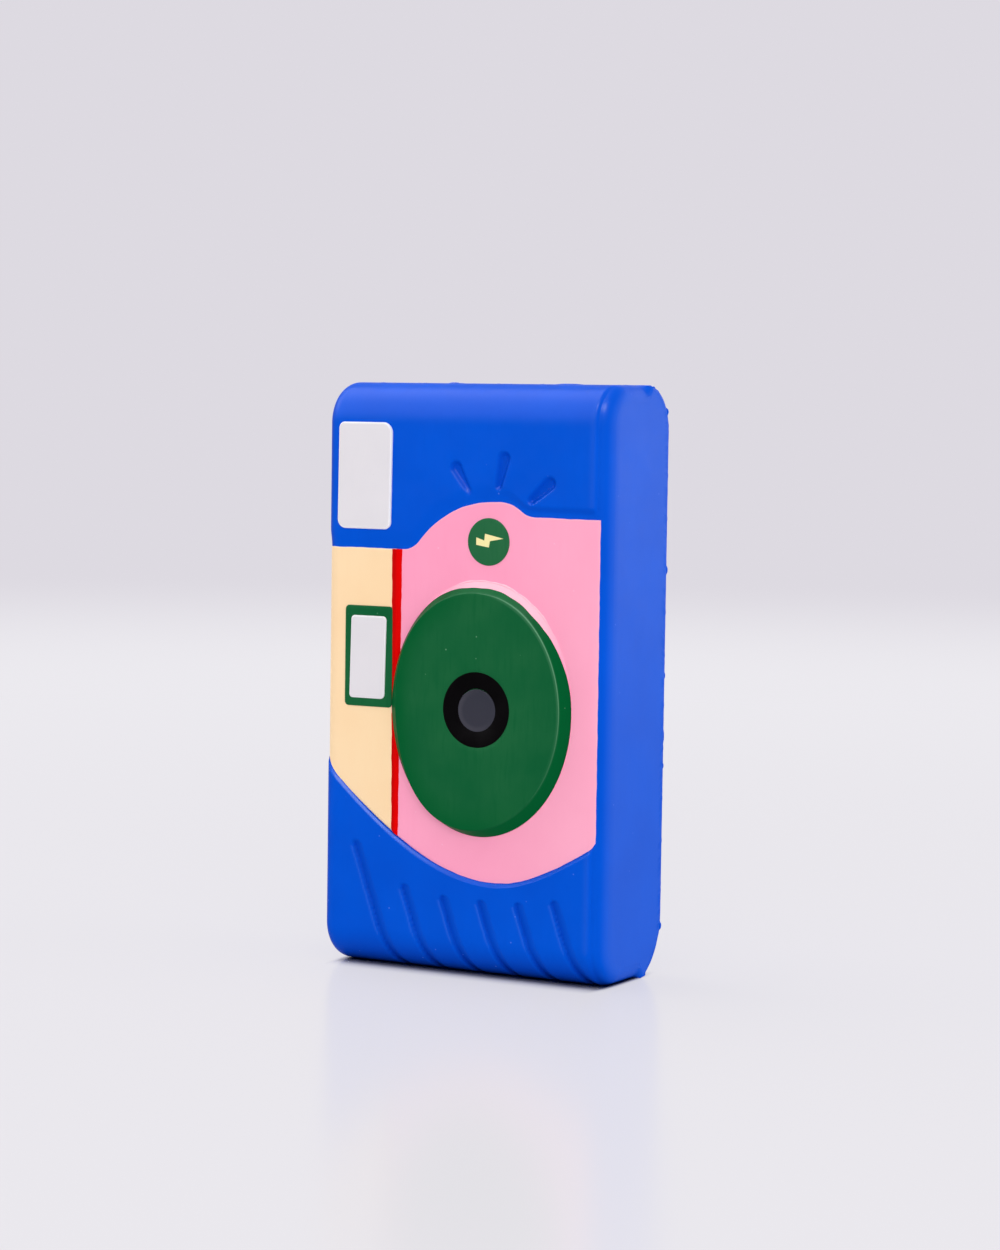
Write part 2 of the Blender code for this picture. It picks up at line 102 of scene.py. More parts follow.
def waver(along: Array, seed: int, size: float, wave: float = 9.0 * MM) -> Array:
    """A hand-made line's small wander: five sines of falling length with seeded phases.

    Args:
        along: Distance along the line.
        seed: Picks the phases.
        size: Largest usual swing.
        wave: Longest wave length.

    Returns:
        Sideways swing at each place.
    """
    rng = np.random.default_rng(seed)
    total = np.zeros_like(along)
    for step in range(5):
        length = wave / (1.0 + 0.83 * step)
        total += np.sin(2.0 * math.pi * along / length + rng.uniform(0.0, 6.28)) / (1.0 + 0.6 * step)
    return total * size / 2.2


def oval_loft(centre: Pair, half_widths: Array, half_heights: Array, depths: Array, count: int) -> Array:
    """Ovals one inside the other: centre plus half width times cosine and half height times sine.

    Args:
        centre: Centre of the ovals, x and z.
        half_widths: Half width of each oval.
        half_heights: Half height of each oval.
        depths: y of each oval.
        count: Points on each oval.

    Returns:
        Ovals by points by 3.
    """
    turn = around(count)
    x = centre[0] + half_widths[:, None] * np.cos(turn)
    z = centre[1] + half_heights[:, None] * np.sin(turn)
    return np.stack([x, np.broadcast_to(depths[:, None], x.shape), z], axis=-1)


def rounded_loop(half_width: float, half_height: float, corners: tuple[float, ...]) -> Array:
    """Outline of a rounded rectangle: four quarter circles set in from the corners.

    Args:
        half_width: Half width.
        half_height: Half height.
        corners: Radius of each corner, anticlockwise from the upper right.

    Returns:
        Points by 2, anticlockwise from the right.
    """
    per_corner = 10
    turn = (np.arange(4)[:, None] + np.linspace(0.0, 1.0, per_corner)) * QUARTER
    sign_x = np.array([1.0, -1.0, -1.0, 1.0])[:, None]
    sign_z = np.array([1.0, 1.0, -1.0, -1.0])[:, None]
    radius = np.array(corners)[:, None]
    x = sign_x * (half_width - radius) + radius * np.cos(turn)
    z = sign_z * (half_height - radius) + radius * np.sin(turn)
    return np.stack([x.ravel(), z.ravel()], axis=-1)


def inset_loops(half: Pair, inset: Array, height: Array, corners: tuple[float, ...], least: float) -> Array:
    """Rounded rectangles one inside the other, each at its own height in front of the seat.

    Args:
        half: Half width and half height of the outermost loop.
        inset: How far each loop is drawn in.
        height: Height of each loop.
        corners: Radius of each corner of the outermost loop, which shrinks by the inset.
        least: Least radius of a corner.

    Returns:
        Loops by points by 3, round the origin.
    """
    loops = []
    for step in inset:
        radii = tuple(max(corner - step, least) for corner in corners)
        loops.append(rounded_loop(half[0] - step, half[1] - step, radii))
    outline = np.stack(loops)
    depth = np.broadcast_to(-height[:, None], outline.shape[:2])
    return np.stack([outline[..., 0], depth, outline[..., 1]], axis=-1)


class Shell:
    """Collects numpy grids and flat caps and turns them into one closed mesh."""

    def __init__(self) -> None:
        """Starts empty."""
        self.points: list[Array] = []
        self.shades_and_tones: list[Array] = []
        self.faces: list[list[int]] = []
        self.count = 0

    def grid(self, points: Array, closed: bool = False, pool: Array | float = 0.0) -> None:
        """Adds the quads of a grid of points.

        Args:
            points: Array of rows by columns by 3.
            closed: Whether the last column joins the first.
            pool: Share of the finish's second tone, mostly painted shade, up to 1, and of painted highlight,
                down to -1.
        """
        rows, columns = points.shape[:2]
        index = np.arange(rows * columns).reshape(rows, columns) + self.count
        if closed:
            index = np.concatenate([index, index[:, :1]], axis=1)
        quads = np.stack([index[:-1, :-1], index[:-1, 1:], index[1:, 1:], index[1:, :-1]], axis=-1)
        self.points.append(points.reshape(-1, 3))
        self.shades_and_tones.append(np.broadcast_to(pool, points.shape[:2]).ravel())
        self.faces.extend(quads.reshape(-1, 4).tolist())
        self.count += rows * columns

    def cap(self, loop: Array, pool: float = 0.0) -> None:
        """Adds one flat polygon.

        Args:
            loop: Array of points by 3, in order.
            pool: Share of the finish's second tone, mostly painted shade.
        """
        self.points.append(loop)
        self.shades_and_tones.append(np.full(len(loop), pool))
        self.faces.append(list(range(self.count, self.count + len(loop))))
        self.count += len(loop)

    def slab(self, top: Array, bottom: Array, pool: Array | float = 0.0) -> None:
        """Adds a closed film between two grids of the same shape.

        Args:
            top: Outer face, rows by columns by 3.
            bottom: Inner face, of the same shape.
            pool: Share of the finish's second tone, mostly painted shade, on both faces.
        """
        pool = np.broadcast_to(pool, top.shape[:2])
        self.grid(top, pool=pool)
        self.grid(bottom[::-1], pool=pool[::-1])
        for edge in (np.s_[0], np.s_[-1], np.s_[:, 0], np.s_[:, -1]):
            self.grid(np.stack([top[edge], bottom[edge]]), pool=np.stack([pool[edge], pool[edge]]))

    def piece(self, name: str, sharp: float = 42.0) -> bpy.types.Object:
        """Welds the grids and makes the object, with its place in its mesh.

        Args:
            name: Name of the piece.
            sharp: Angle in degrees from which an edge stays sharp.

        Returns:
            The new object.
        """
        mesh = bpy.data.meshes.new(name)
        mesh.from_pydata(np.concatenate(self.points).tolist(), [], self.faces)
        mesh.attributes.new("pool", "FLOAT", "POINT").data.foreach_set("value", np.concatenate(self.shades_and_tones))
        build = bmesh.new()
        build.from_mesh(mesh)
        bmesh.ops.remove_doubles(build, verts=build.verts, dist=WELD)
        bmesh.ops.recalc_face_normals(build, faces=build.faces)
        build.to_mesh(mesh)
        build.free()
        mesh.shade_smooth()
        mesh.set_sharp_from_angle(angle=math.radians(sharp))
        made = bpy.data.objects.new(name, mesh)
        bpy.context.scene.collection.objects.link(made)
        return made


@dataclass(frozen=True)
class SatinPaint:
    """Flexible satin paint: soft sheen, fine orange peel, faint blotches and streaks, a few dust specks."""

    slot: Slot
    colour: Colour
    deep: Colour
    dust_and_highlight: Colour
    shade_and_tone_colour: Colour
    ior: float = 1.08
    roughness: float = 0.34
    roughness_swing: float = 0.05
    sheen_size: float = 3.0 * MM
    sheen_range: Pair = (0.3, 0.7)
    peel: float = 0.06
    peel_size: float = 0.55 * MM
    peel_depth: float = 0.12 * MM
    blotch_size: float = 14.0 * MM
    blotch_range: Pair = (0.36, 0.62)
    streak: float = 0.35
    streak_size: float = 0.7 * MM
    streak_range: Pair = (0.50, 0.72)
    streak_stretch: float = 0.12
    streak_lean: float = math.radians(14.0)
    dust_spacing: float = 4.2 * MM
    dust_edge: Pair = (0.018, 0.045)
    dust_strength: float = 0.75

    def material(self) -> bpy.types.Material:
        """Makes the node material.

        Returns:
            Principled paint whose colour, roughness and bump follow noise on Object coordinates.
        """
        made = bpy.data.materials.new(self.slot.value)
        made.use_nodes = True
        tree = made.node_tree
        paint = tree.nodes["Principled BSDF"]
        paint.inputs["IOR"].default_value = self.ior
        place = tree.nodes.new("ShaderNodeTexCoord").outputs["Object"]
        tree.links.new(self.tone(tree, place), paint.inputs["Base Color"])

        sheen = self.noise(tree, place, self.sheen_size, detail=2.0)
        smooth, rough = self.roughness - self.roughness_swing, self.roughness + self.roughness_swing
        roughness = self.spread(tree, sheen, self.sheen_range, (smooth, rough))
        tree.links.new(roughness, paint.inputs["Roughness"])

        bump = tree.nodes.new("ShaderNodeBump")
        bump.inputs["Strength"].default_value = self.peel
        bump.inputs["Distance"].default_value = self.peel_depth
        tree.links.new(self.noise(tree, place, self.peel_size, detail=2.0), bump.inputs["Height"])
        tree.links.new(bump.outputs["Normal"], paint.inputs["Normal"])
        return made

    def tone(self, tree: Tree, place: Socket) -> Socket:
        """The paint's colour: blotches, slanted streaks, painted shade and highlights, and dust, one over the
        other.

        Above 0 the piece's own attribute mixes in the second tone: painted shade on the blue, red and green,
        painted light on the pink and the pupil, a paler rim on the windows and the bolt's own colour. Below 0
        it mixes in the speck tone as painted highlights and sheen.

        Args:
            tree: Material's node tree.
            place: Object coordinates.

        Returns:
            The colour.
        """
        blotch = self.noise(tree, place, self.blotch_size, detail=3.0)
        tone = self.mix(tree, self.spread(tree, blotch, self.blotch_range), self.deep, self.colour)

        brush = tree.nodes.new("ShaderNodeMapping")
        brush.inputs["Rotation"].default_value = (0.0, self.streak_lean, 0.0)
        brush.inputs["Scale"].default_value = (1.0, 1.0, self.streak_stretch)
        tree.links.new(place, brush.inputs["Vector"])
        stroke = self.noise(tree, brush.outputs["Vector"], self.streak_size, detail=2.0)
        streaks = self.spread(tree, stroke, self.streak_range, (0.0, self.streak))
        tone = self.mix(tree, streaks, tone, self.deep)

        # Painted shade and light: the piece's attribute mixes in the second tone above 0 and the speck tone
        # below 0.
        pool = tree.nodes.new("ShaderNodeAttribute")
        pool.attribute_name = "pool"
        tone = self.mix(tree, pool.outputs["Fac"], tone, self.shade_and_tone_colour)
        tone = self.mix(tree, self.spread(tree, pool.outputs["Fac"], (0.0, -1.0)), tone, self.dust_and_highlight)

        dust = tree.nodes.new("ShaderNodeTexVoronoi")
        dust.inputs["Scale"].default_value = 1.0 / self.dust_spacing
        tree.links.new(place, dust.inputs["Vector"])
        grains = self.spread(tree, dust.outputs["Distance"], self.dust_edge, (self.dust_strength, 0.0))
        return self.mix(tree, grains, tone, self.dust_and_highlight)

    @staticmethod
    def noise(tree: Tree, place: Socket, size: float, detail: float) -> Socket:
        """Adds a noise.

        Args:
            tree: Material's node tree.
            place: Coordinates that it follows.
            size: Usual size of a blotch in metres.
            detail: Octaves.

        Returns:
            The noise's value.
        """
        made = tree.nodes.new("ShaderNodeTexNoise")
        made.inputs["Scale"].default_value = 1.0 / size
        made.inputs["Detail"].default_value = detail
        tree.links.new(place, made.inputs["Vector"])
        return made.outputs["Fac"]

    @staticmethod
    def mix(tree: Tree, share: Socket, first: Socket | Colour, second: Colour) -> Socket:
        """Mixes a colour over another by a share that varies over the surface.

        Args:
            tree: Material's node tree.
            share: Share of the second colour.
            first: Colour below.
            second: Colour on top.

        Returns:
            The mixed colour.
        """
        made = tree.nodes.new("ShaderNodeMix")
        made.data_type = "RGBA"
        below, above = made.inputs[6], made.inputs[7]
        above.default_value = (*second, 1.0)
        tree.links.new(share, made.inputs[0])
        if isinstance(first, tuple):
            below.default_value = (*first, 1.0)
        else:
            tree.links.new(first, below)
        return made.outputs[2]

    @staticmethod
    def spread(tree: Tree, value: Socket, source: Pair, result: Pair = (0.0, 1.0),
               soft: bool = False) -> Socket:
        """Maps one range to another, held at both ends.

        Args:
            tree: Material's node tree.
            value: Value to map.
            source: Values that give the first and the last result.
            result: First and last result.
            soft: Whether the way between them is a smooth step.

        Returns:
            The mapped value.
        """
        made = tree.nodes.new("ShaderNodeMapRange")
        made.interpolation_type = "SMOOTHSTEP" if soft else "LINEAR"
        for name, number in zip(("From Min", "From Max", "To Min", "To Max"), (*source, *result)):
            made.inputs[name].default_value = number
        tree.links.new(value, made.inputs["Value"])
        return made.outputs["Result"]


class Paintbox:
    """Makes each finish's material once and dresses the pieces with it."""

    # Second tone of each finish, mixed in where the piece's attribute is above 0: painted shade on the blue,
    # red and green, painted light on the pink and the pupil, a paler rim on the windows, the bolt's own
    # colour on the cream. The speck tone is dust, and below 0 painted highlights and sheen, paler edges and
    # the badge's lighter tone.
    FINISHES = (
        SatinPaint(Slot.BLUE, (0.0, 0.088, 0.655), deep=(0.0, 0.080, 0.615), dust_and_highlight=(0.10, 0.22, 0.80),
                   shade_and_tone_colour=(0.0, 0.040, 0.42)),
        SatinPaint(Slot.CREAM, (0.99, 0.73, 0.445), deep=(0.98, 0.70, 0.415), dust_and_highlight=(1.0, 0.87, 0.70),
                   shade_and_tone_colour=(0.93, 0.82, 0.40)),
        SatinPaint(Slot.RED, (0.79, 0.0, 0.0), deep=(0.71, 0.0, 0.0), dust_and_highlight=(0.55, 0.0, 0.0),
                   shade_and_tone_colour=(0.55, 0.0, 0.0)),
        SatinPaint(Slot.PINK, (1.0, 0.362, 0.540), deep=(0.98, 0.340, 0.515), dust_and_highlight=(1.0, 0.52, 0.68),
                   shade_and_tone_colour=(1.0, 0.56, 0.66)),
        SatinPaint(Slot.GREEN, (0.011, 0.121, 0.040), deep=(0.004, 0.103, 0.032), dust_and_highlight=(0.14, 0.36, 0.20),
                   shade_and_tone_colour=(0.0, 0.098, 0.024), streak=0.65),
        SatinPaint(Slot.WINDOW, (0.765, 0.735, 0.765), deep=(0.74, 0.715, 0.745), dust_and_highlight=(0.66, 0.63, 0.66),
                   shade_and_tone_colour=(0.92, 0.91, 0.94)),
        SatinPaint(Slot.BLACK, (0.0016, 0.0012, 0.0016), deep=(0.001, 0.0008, 0.001),
                   dust_and_highlight=(0.02, 0.02, 0.02), shade_and_tone_colour=(0.012, 0.011, 0.014)),
        SatinPaint(Slot.PUPIL, (0.039, 0.039, 0.054), deep=(0.035, 0.037, 0.051), dust_and_highlight=(0.07, 0.07, 0.08),
                   shade_and_tone_colour=(0.06, 0.058, 0.075)),
    )

    def __init__(self, toy: bpy.types.Collection) -> None:
        """Makes one material for each finish, and keeps the collection that takes each dressed piece."""
        self.toy = toy
        self.materials = {finish.slot: finish.material() for finish in self.FINISHES}

    def dress(self, piece: bpy.types.Object, slot: Slot, *nodes: str) -> None:
        """Paints a piece, fixes it to the body and hides the CAD nodes that it stands for.

        Args:
            piece: The piece.
            slot: Its finish.
            nodes: CAD nodes that it replaces.
        """
        piece.data.materials.append(self.materials[slot])
        self.toy.objects.link(piece)
        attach(piece, "root")
        if nodes:
            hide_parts(*nodes)
        LOG.info("%s: %d faces, %s", piece.name, len(piece.data.polygons), slot.value)


@dataclass
class Block:
    """The plain rounded block under the relief: a long profile loop with rounded side edges."""

    half_width: float = 29.5 * MM
    front: float = 12.05 * MM
    height: float = 108.0 * MM
    front_radius: float = 7.6 * MM
    front_edge: float = 3.0 * MM
    parting: float = 5.0 * MM
    back_climbs: Pair = (11.3 * MM, 8.3 * MM)
    back_edge: float = 0.8 * MM
    run_out: float = 1.2 * MM

    @property
    def flat_run(self) -> float:
        """Length of the flat between the front rounding and the parting line."""
        return self.parting + self.front - self.front_radius

    @property
    def reach(self) -> float:
        """Arc length across the front from the middle to the side face."""
        return self.half_width - self.front_edge + self.front_edge * QUARTER

    @property
    def climb(self) -> float:
        """Arc length from the end of the front's flat to the parting line."""
        return self.front_radius * QUARTER + self.flat_run

    def across(self, a: Array) -> tuple[Array, Array, Array]:
        """Goes across the front by arc length: flat, then the edge's quarter circle, then the side.

        Args:
            a: Signed arc length from the middle.

        Returns:
            x, drop below the front, and the normal's turn towards the side.
        """
        flat = self.half_width - self.front_edge
        past = np.clip(np.abs(a) - flat, 0.0, None)
        turn = np.minimum(past / self.front_edge, QUARTER)
        x = np.minimum(np.abs(a), flat) + self.front_edge * np.sin(turn)
        drop = self.front_edge * (1.0 - np.cos(turn)) + past - self.front_edge * turn
        return np.sign(a) * x, drop, np.sign(a) * turn

    def front_half(self, a: Array, b: Array) -> tuple[Array, Array, Array, Array]:
        """The front half's surface: profile point less the edge's drop along the profile's normal.

        Args:
            a: Arc length across, from the middle.
            b: Height on the front's flat, carried on as arc length over the roundings.

        Returns:
            Points, outward normals, turn towards the side and tilt towards the top.
        """
        r = self.front_radius
        over = np.clip(b - self.height + r, 0.0, None)
        under = np.clip(r - b, 0.0, None)
        tilt = np.minimum(over / r, QUARTER) - np.minimum(under / r, QUARTER)
        run = np.clip(np.maximum(over, under) - r * QUARTER, 0.0, None)
        x, drop, turn = self.across(a)
        crisp = ramp(run, (self.flat_run - self.run_out, self.run_out))
        drop = drop * (1.0 - crisp) + rounding(self.half_width - np.abs(x), self.back_edge) * crisp
        y = r - self.front + run - (r - drop) * np.cos(tilt)
        z = np.clip(b, r, self.height - r) + (r - drop) * np.sin(tilt)
        normal = np.stack([np.sin(turn), -np.cos(turn) * np.cos(tilt), np.cos(turn) * np.sin(tilt)], axis=-1)
        return np.stack([x, y, z], axis=-1), normal, turn, tilt

    def end_arc(self, climb: float) -> Pair:
        """The arc between the back and the parting line, level with the back where it starts.

        Args:
            climb: Height of the arc.

        Returns:
            Radius, half of the depth plus half of the climb squared over the depth, and angle.
        """
        deep = self.front - self.parting
        radius = (climb ** 2 + deep ** 2) / (2.0 * deep)
        return radius, math.asin(climb / radius)

    def back_half(self, x: Array, share: Array, drop: Array) -> Array:
        """The back half's surface: an arc from the lower parting line, a flat, an arc to the upper one.

        Args:
            x: Place across.
            share: 0 at the lower parting line, 1 at the upper one, by arc length.
            drop: How far below the plain profile, along a line that turns from level on the back to
                upright at the parting line.

        Returns:
            Points.
        """
        low_climb, top_climb = self.back_climbs
        low_r, low_angle = self.end_arc(low_climb)
        top_r, top_angle = self.end_arc(top_climb)
        flat = self.height - low_climb - top_climb
        s = share * (low_r * low_angle + flat + top_r * top_angle)
        under = np.clip(low_angle - s / low_r, 0.0, None)
        over = np.clip((s - low_r * low_angle - flat) / top_r, 0.0, None)
        lean = (over / top_angle - under / low_angle) * QUARTER
        y = self.front - low_r * (1.0 - np.cos(under)) - top_r * (1.0 - np.cos(over)) - drop * np.cos(lean)
        z = low_climb + np.clip(s - low_r * low_angle, 0.0, flat) - drop * np.sin(lean)
        return np.stack([x, y, z - low_r * np.sin(under) + top_r * np.sin(over)], axis=-1)


@dataclass(frozen=True)
class RayDent:
    """A tapered dent: its inner end, its angle from upright, its length and its half width at both ends."""

    x: float
    z: float
    angle: float
    length: float
    half: Pair


@dataclass
class Relief:
    """The moulded relief of the front: sunk picture band, grip grooves and ray dents.

    Pairs named turn, fade, from and run are a start and a run along which something comes in. The values
    that darken or lighten the skin's colour give painted shade and painted highlights.
    """

    block: Block
    badge_x: float = 5.2 * MM
    badge_z: float = 79.5 * MM
    film: float = 0.05 * MM

    crest_top: float = 86.7 * MM
    crest_flat: float = 1.08 * MM
    crest_fillet: float = 4.0 * MM
    left_shoulder: Pair = (9.1 * MM, 20.0 * MM)
    right_shoulder: Pair = (2.50 * MM, 7.4 * MM)
    right_fall: float = 0.16 * MM
    right_run: Pair = (13.0 * MM, 14.0 * MM)
    right_most: float = 1.2
    top_turn: Pair = (2.0 * MM, 12.0 * MM)
    top_gap: Pair = (0.05 * MM, 0.65 * MM)
    top_bevel: Pair = (3.4 * MM, 1.6 * MM)
    ledge_from: Pair = (9.0 * MM, 6.0 * MM)
    ledge_shade: float = 0.24

    scoop_x: float = 7.27 * MM
    scoop_low: float = 17.67 * MM
    scoop_left: Pair = (1.478, 42.09 * MM)
    scoop_right: Pair = (0.715, 12.68 * MM)
    scoop_fade: Pair = (-15.0 * MM, 17.0 * MM)
    foot_turn: Pair = (-18.0 * MM, 30.0 * MM)
    foot_gap: float = 0.10 * MM
    foot_bevel: Pair = (0.85 * MM, 0.75 * MM)
    foot_soft: float = 0.35
    lip_at: Pair = (0.5, 0.6)
    lip_highlight: float = 0.30
    crease_up: float = 0.05 * MM
    crease_half: float = 0.26 * MM
    crease_depth: float = 0.22 * MM
    crease_from: Pair = (-27.0 * MM, 11.0 * MM)
    crease_share: Pair = (0.25, 1.0)
    crease_shade: float = 0.85

    sunk: float = 0.50 * MM
    sunk_side: float = 0.05 * MM
    strip_start: float = 26.35 * MM
    strip_bevel: float = 1.05 * MM
    strip_rim: Pair = (0.1 * MM, 0.9 * MM)
    strip_highlight: float = 0.06

    groove_tops: tuple[float, ...] = (23.0 * MM, 15.7 * MM, 14.3 * MM, 14.1 * MM, 14.3 * MM, 15.3 * MM)
    groove_first: float = -13.5 * MM
    groove_step: float = 7.8 * MM
    groove_lean: float = 0.36
    groove_half: float = 1.08 * MM
    groove_wall: float = 0.40 * MM
    groove_depth: float = 0.62 * MM
    groove_end: float = 0.6 * MM
    groove_floor: Pair = (0.56, 0.5)
    groove_swing: Pair = (0.05 * MM, 6.0 * MM)
    groove_rim: Pair = (0.2 * MM, 0.45 * MM)
    groove_fade: Pair = (math.radians(-90.0), math.radians(14.0))
    groove_shade: float = 0.62
    groove_shade_wall: float = 0.9
    groove_rim_highlight: float = 0.16

    dents: tuple[RayDent, ...] = (
        RayDent(1.05 * MM, 88.55 * MM, math.radians(-32.2), 5.0 * MM, (0.90 * MM, 1.45 * MM)),
        RayDent(7.22 * MM, 89.6 * MM, math.radians(12.7), 5.1 * MM, (1.00 * MM, 1.50 * MM)),
        RayDent(14.1 * MM, 87.3 * MM, math.radians(50.0), 4.6 * MM, (1.10 * MM, 1.55 * MM)))
    dent_wall: float = 1.0 * MM
    dent_depth: float = 0.85 * MM
    dent_shade: float = 0.32

    end_fade: Pair = (0.35, 0.6)
    end_from: Pair = (0.05, 0.9)
    bottom_shade: float = 0.60
    left_from: Pair = (0.30, 0.7)
    left_shade: float = 0.75
    right_from: Pair = (0.8, 0.7)
    right_sheen: float = 0.16

    @property
    def seat(self) -> float:
        """Depth of the coats on the sunk band, which carry the lens, the badge and the viewfinder."""
        return -self.block.front + self.sunk - self.film

    def shoulder(self, run: Array, drop: float, radius: float) -> Array:
        """Fall of a shoulder: a convex arc of the radius that meets a concave fillet.

        Args:
            run: Distance from where the shoulder starts.
            drop: Whole fall.
            radius: Radius of the convex arc.

        Returns:
            Fall at each place.
        """
        fillet = self.crest_fillet
        foot = math.sqrt((radius + fillet) ** 2 - (radius + fillet - drop) ** 2)
        meeting = foot * radius / (radius + fillet)
        run = np.clip(run, 0.0, foot)
        convex = radius - np.sqrt(radius * radius - np.minimum(run, meeting) ** 2)
        concave = drop - fillet + np.sqrt(np.clip(fillet * fillet - (foot - run) ** 2, 0.0, None))
        return np.where(run <= meeting, convex, concave)

    def crest(self, x: Array) -> Array:
        """Upper edge of the coats: a flat crest over the badge with a long and a short shoulder.

        Args:
            x: Place across, as arc length.

        Returns:
            Height of the edge.
        """
        left = self.shoulder(self.badge_x + self.crest_flat - x, *self.left_shoulder)
        right = self.shoulder(x - self.badge_x - 2.0 * self.crest_flat, *self.right_shoulder)
        start, run = self.right_run
        fall = self.right_fall * np.clip((x - start) / run, 0.0, self.right_most)
        return self.crest_top - left - right - fall

    def scoop(self, x: Array) -> Array:
        """Lower edge of the coats: a hyperbola branch, steeper on the left.

        Args:
            x: Place across, as arc length.

        Returns:
            Height of the edge.
        """
        run = x - self.scoop_x
        slope = np.where(run < 0.0, self.scoop_left[0], self.scoop_right[0])
        soft = np.where(run < 0.0, self.scoop_left[1], self.scoop_right[1])
        return self.scoop_low + slope * (np.hypot(soft, run) - soft)

    def band_top(self, x: Array) -> tuple[Array, Array]:
        """Foot and width of the bevel over the band at x: wide and soft on the left, crisp on the right."""
        right = ramp(x, self.top_turn)
        return self.crest(x) + between(self.top_gap, right), between(self.top_bevel, right)

    def band_foot(self, x: Array) -> tuple[Array, Array]:
        """Foot and width of the bevel under the band at x, a little narrower on the right."""
        return self.scoop(x) - self.foot_gap, between(self.foot_bevel, ramp(x, self.foot_turn))

    def grooves(self, x: Array, z: Array, tilt: Array) -> tuple[Array, Array]:
        """The grip's slanted grooves: channels with round tops.

        A groove has a crisp left wall and a floor that climbs to the right. Painted shade darkens it along
        the wall, and a painted highlight lightens the rim beside it.

        Args:
            x: Place across.
            z: Height.
            tilt: Tilt of the surface towards the top.

        Returns:
            Depth's share, 0 on the grip and 1 on a groove's floor, and the painted shade less the rim's
            painted highlight.
        """
        depth, pool = np.zeros_like(x), np.zeros_like(x)
        middle, slope = self.groove_floor
        beside, rim_half = self.groove_rim
        for number, top in enumerate(self.groove_tops):
            line = self.groove_first + number * self.groove_step - self.groove_lean * z
            off = (x - line + waver(z, 40 + number, *self.groove_swing)) / math.hypot(1.0, self.groove_lean)
            past = np.clip(z - top + self.groove_end, 0.0, None)
            inside = self.groove_half - np.hypot(off, past)
            climb = np.clip(middle - slope * off / self.groove_half, 0.0, 1.0)
            rim = hump(off, -self.groove_half - beside, rim_half) * (past <= 0.0) * ease(-inside / beside)
            depth = np.maximum(depth, ease(inside / self.groove_wall) * climb)
            # Painted shade along the groove's wall and floor, and a painted highlight on the rim beside it.
            pool = pool + self.groove_shade * ease(inside / (self.groove_shade_wall * self.groove_wall)) * climb
            pool = pool - self.groove_rim_highlight * rim
        fade = ramp(tilt, self.groove_fade)
        return depth * fade, pool * fade

    def rays(self, x: Array, z: Array) -> Array:
        """Share of the three tapered dents that fan out over the badge: capsules with eased walls.

        Args:
            x: Place across.
            z: Height.

        Returns:
            0 on the shutter end, 1 on a dent's floor.
        """
        total = np.zeros_like(x)
        for dent in self.dents:
            dx, dz = x - dent.x, z - dent.z
            along = dx * math.sin(dent.angle) + dz * math.cos(dent.angle)
            off = dx * math.cos(dent.angle) - dz * math.sin(dent.angle)
            nearest = np.clip(along, 0.0, dent.length)
            inside = between(dent.half, nearest / dent.length) - np.hypot(off, along - nearest)
            total = np.maximum(total, ease(inside / self.dent_wall))
        return total

    def mould(self, a: Array, z: Array, turn: Array, tilt: Array) -> tuple[Array, Array]:
        """How far the moulded surface lies below the plain block, and where shade and highlights are painted
        on the skin.

        The level is the band's sink, which fades towards the sides and over the roundings. It counts
        where the surface isn't raised: in the band, and right of the raised ends' right edge. A fine
        crease runs along the foot of the lower bevel. Painted shade darkens the crease, grooves and dents,
        the ledge over the band and the lower and left edges. Painted highlights lighten the lower bevel's
        left part and the raised ends' right edge, and a painted sheen lightens the right side.

        Args:
            a: Arc length across.
            z: Height.
            turn: Turn of the surface towards the side.
            tilt: Tilt of the surface towards the top.

        Returns:
            Depth along the inward normal, and the painted shade, up to 1, less the painted highlights and
            sheen, down to -1.
        """
        top, top_bevel = self.band_top(a)
        foot, foot_bevel = self.band_foot(a)
        over = ease((z - top) / top_bevel)
        fall = (foot - z) / foot_bevel
        under = self.foot_soft * ease(fall) + (1.0 - self.foot_soft) * np.clip(fall, 0.0, 1.0)
        edge = 1.0 - ramp(a, (self.strip_start, self.strip_bevel))
        ends = np.maximum(over, under)
        raised = ends * edge
        side = np.where(a < 0.0, self.sunk_side, 0.0)
        level = (side + (self.sunk - side) * np.cos(turn)) * np.cos(tilt)
        grooves, pool = (under * value for value in self.grooves(a, z, tilt))
        rays = over * self.rays(a, z)
        left = 1.0 - ramp(a, self.scoop_fade)
        crease = hump(z, foot + self.crease_up, self.crease_half) * edge * np.cos(turn) ** 2
        crease = crease * between(self.crease_share, left) * ramp(a, self.crease_from)
        depth = level * (1.0 - raised) + raised * (grooves * self.groove_depth + rays * self.dent_depth)

        # Painted shade on the ledge, in the dents, along the bottom and left edges and in the crease; painted
        # highlights on the lower bevel's left part and the raised ends' right edge; painted sheen towards the
        # right side.
        ledge = 4.0 * over * (1.0 - over) * ramp(a, self.ledge_from) * edge
        lip = left * hump(z, foot - self.lip_at[0] * foot_bevel, self.lip_at[1] * foot_bevel)
        rim = ends * np.cos(tilt) * hump(a, self.strip_start - self.strip_rim[0], self.strip_rim[1])
        front = 1.0 - ramp(turn, self.end_fade)
        pool = pool + self.dent_shade * rays + self.ledge_shade * ledge
        pool = pool + self.bottom_shade * front * ramp(-tilt, self.end_from)
        pool = pool + self.left_shade * ramp(-turn, self.left_from)
        pool = pool - self.right_sheen * ramp(turn, self.right_from)
        pool = pool - self.lip_highlight * lip - self.strip_highlight * rim
        return depth + crease * self.crease_depth, pool * (1.0 - crease) + self.crease_shade * crease

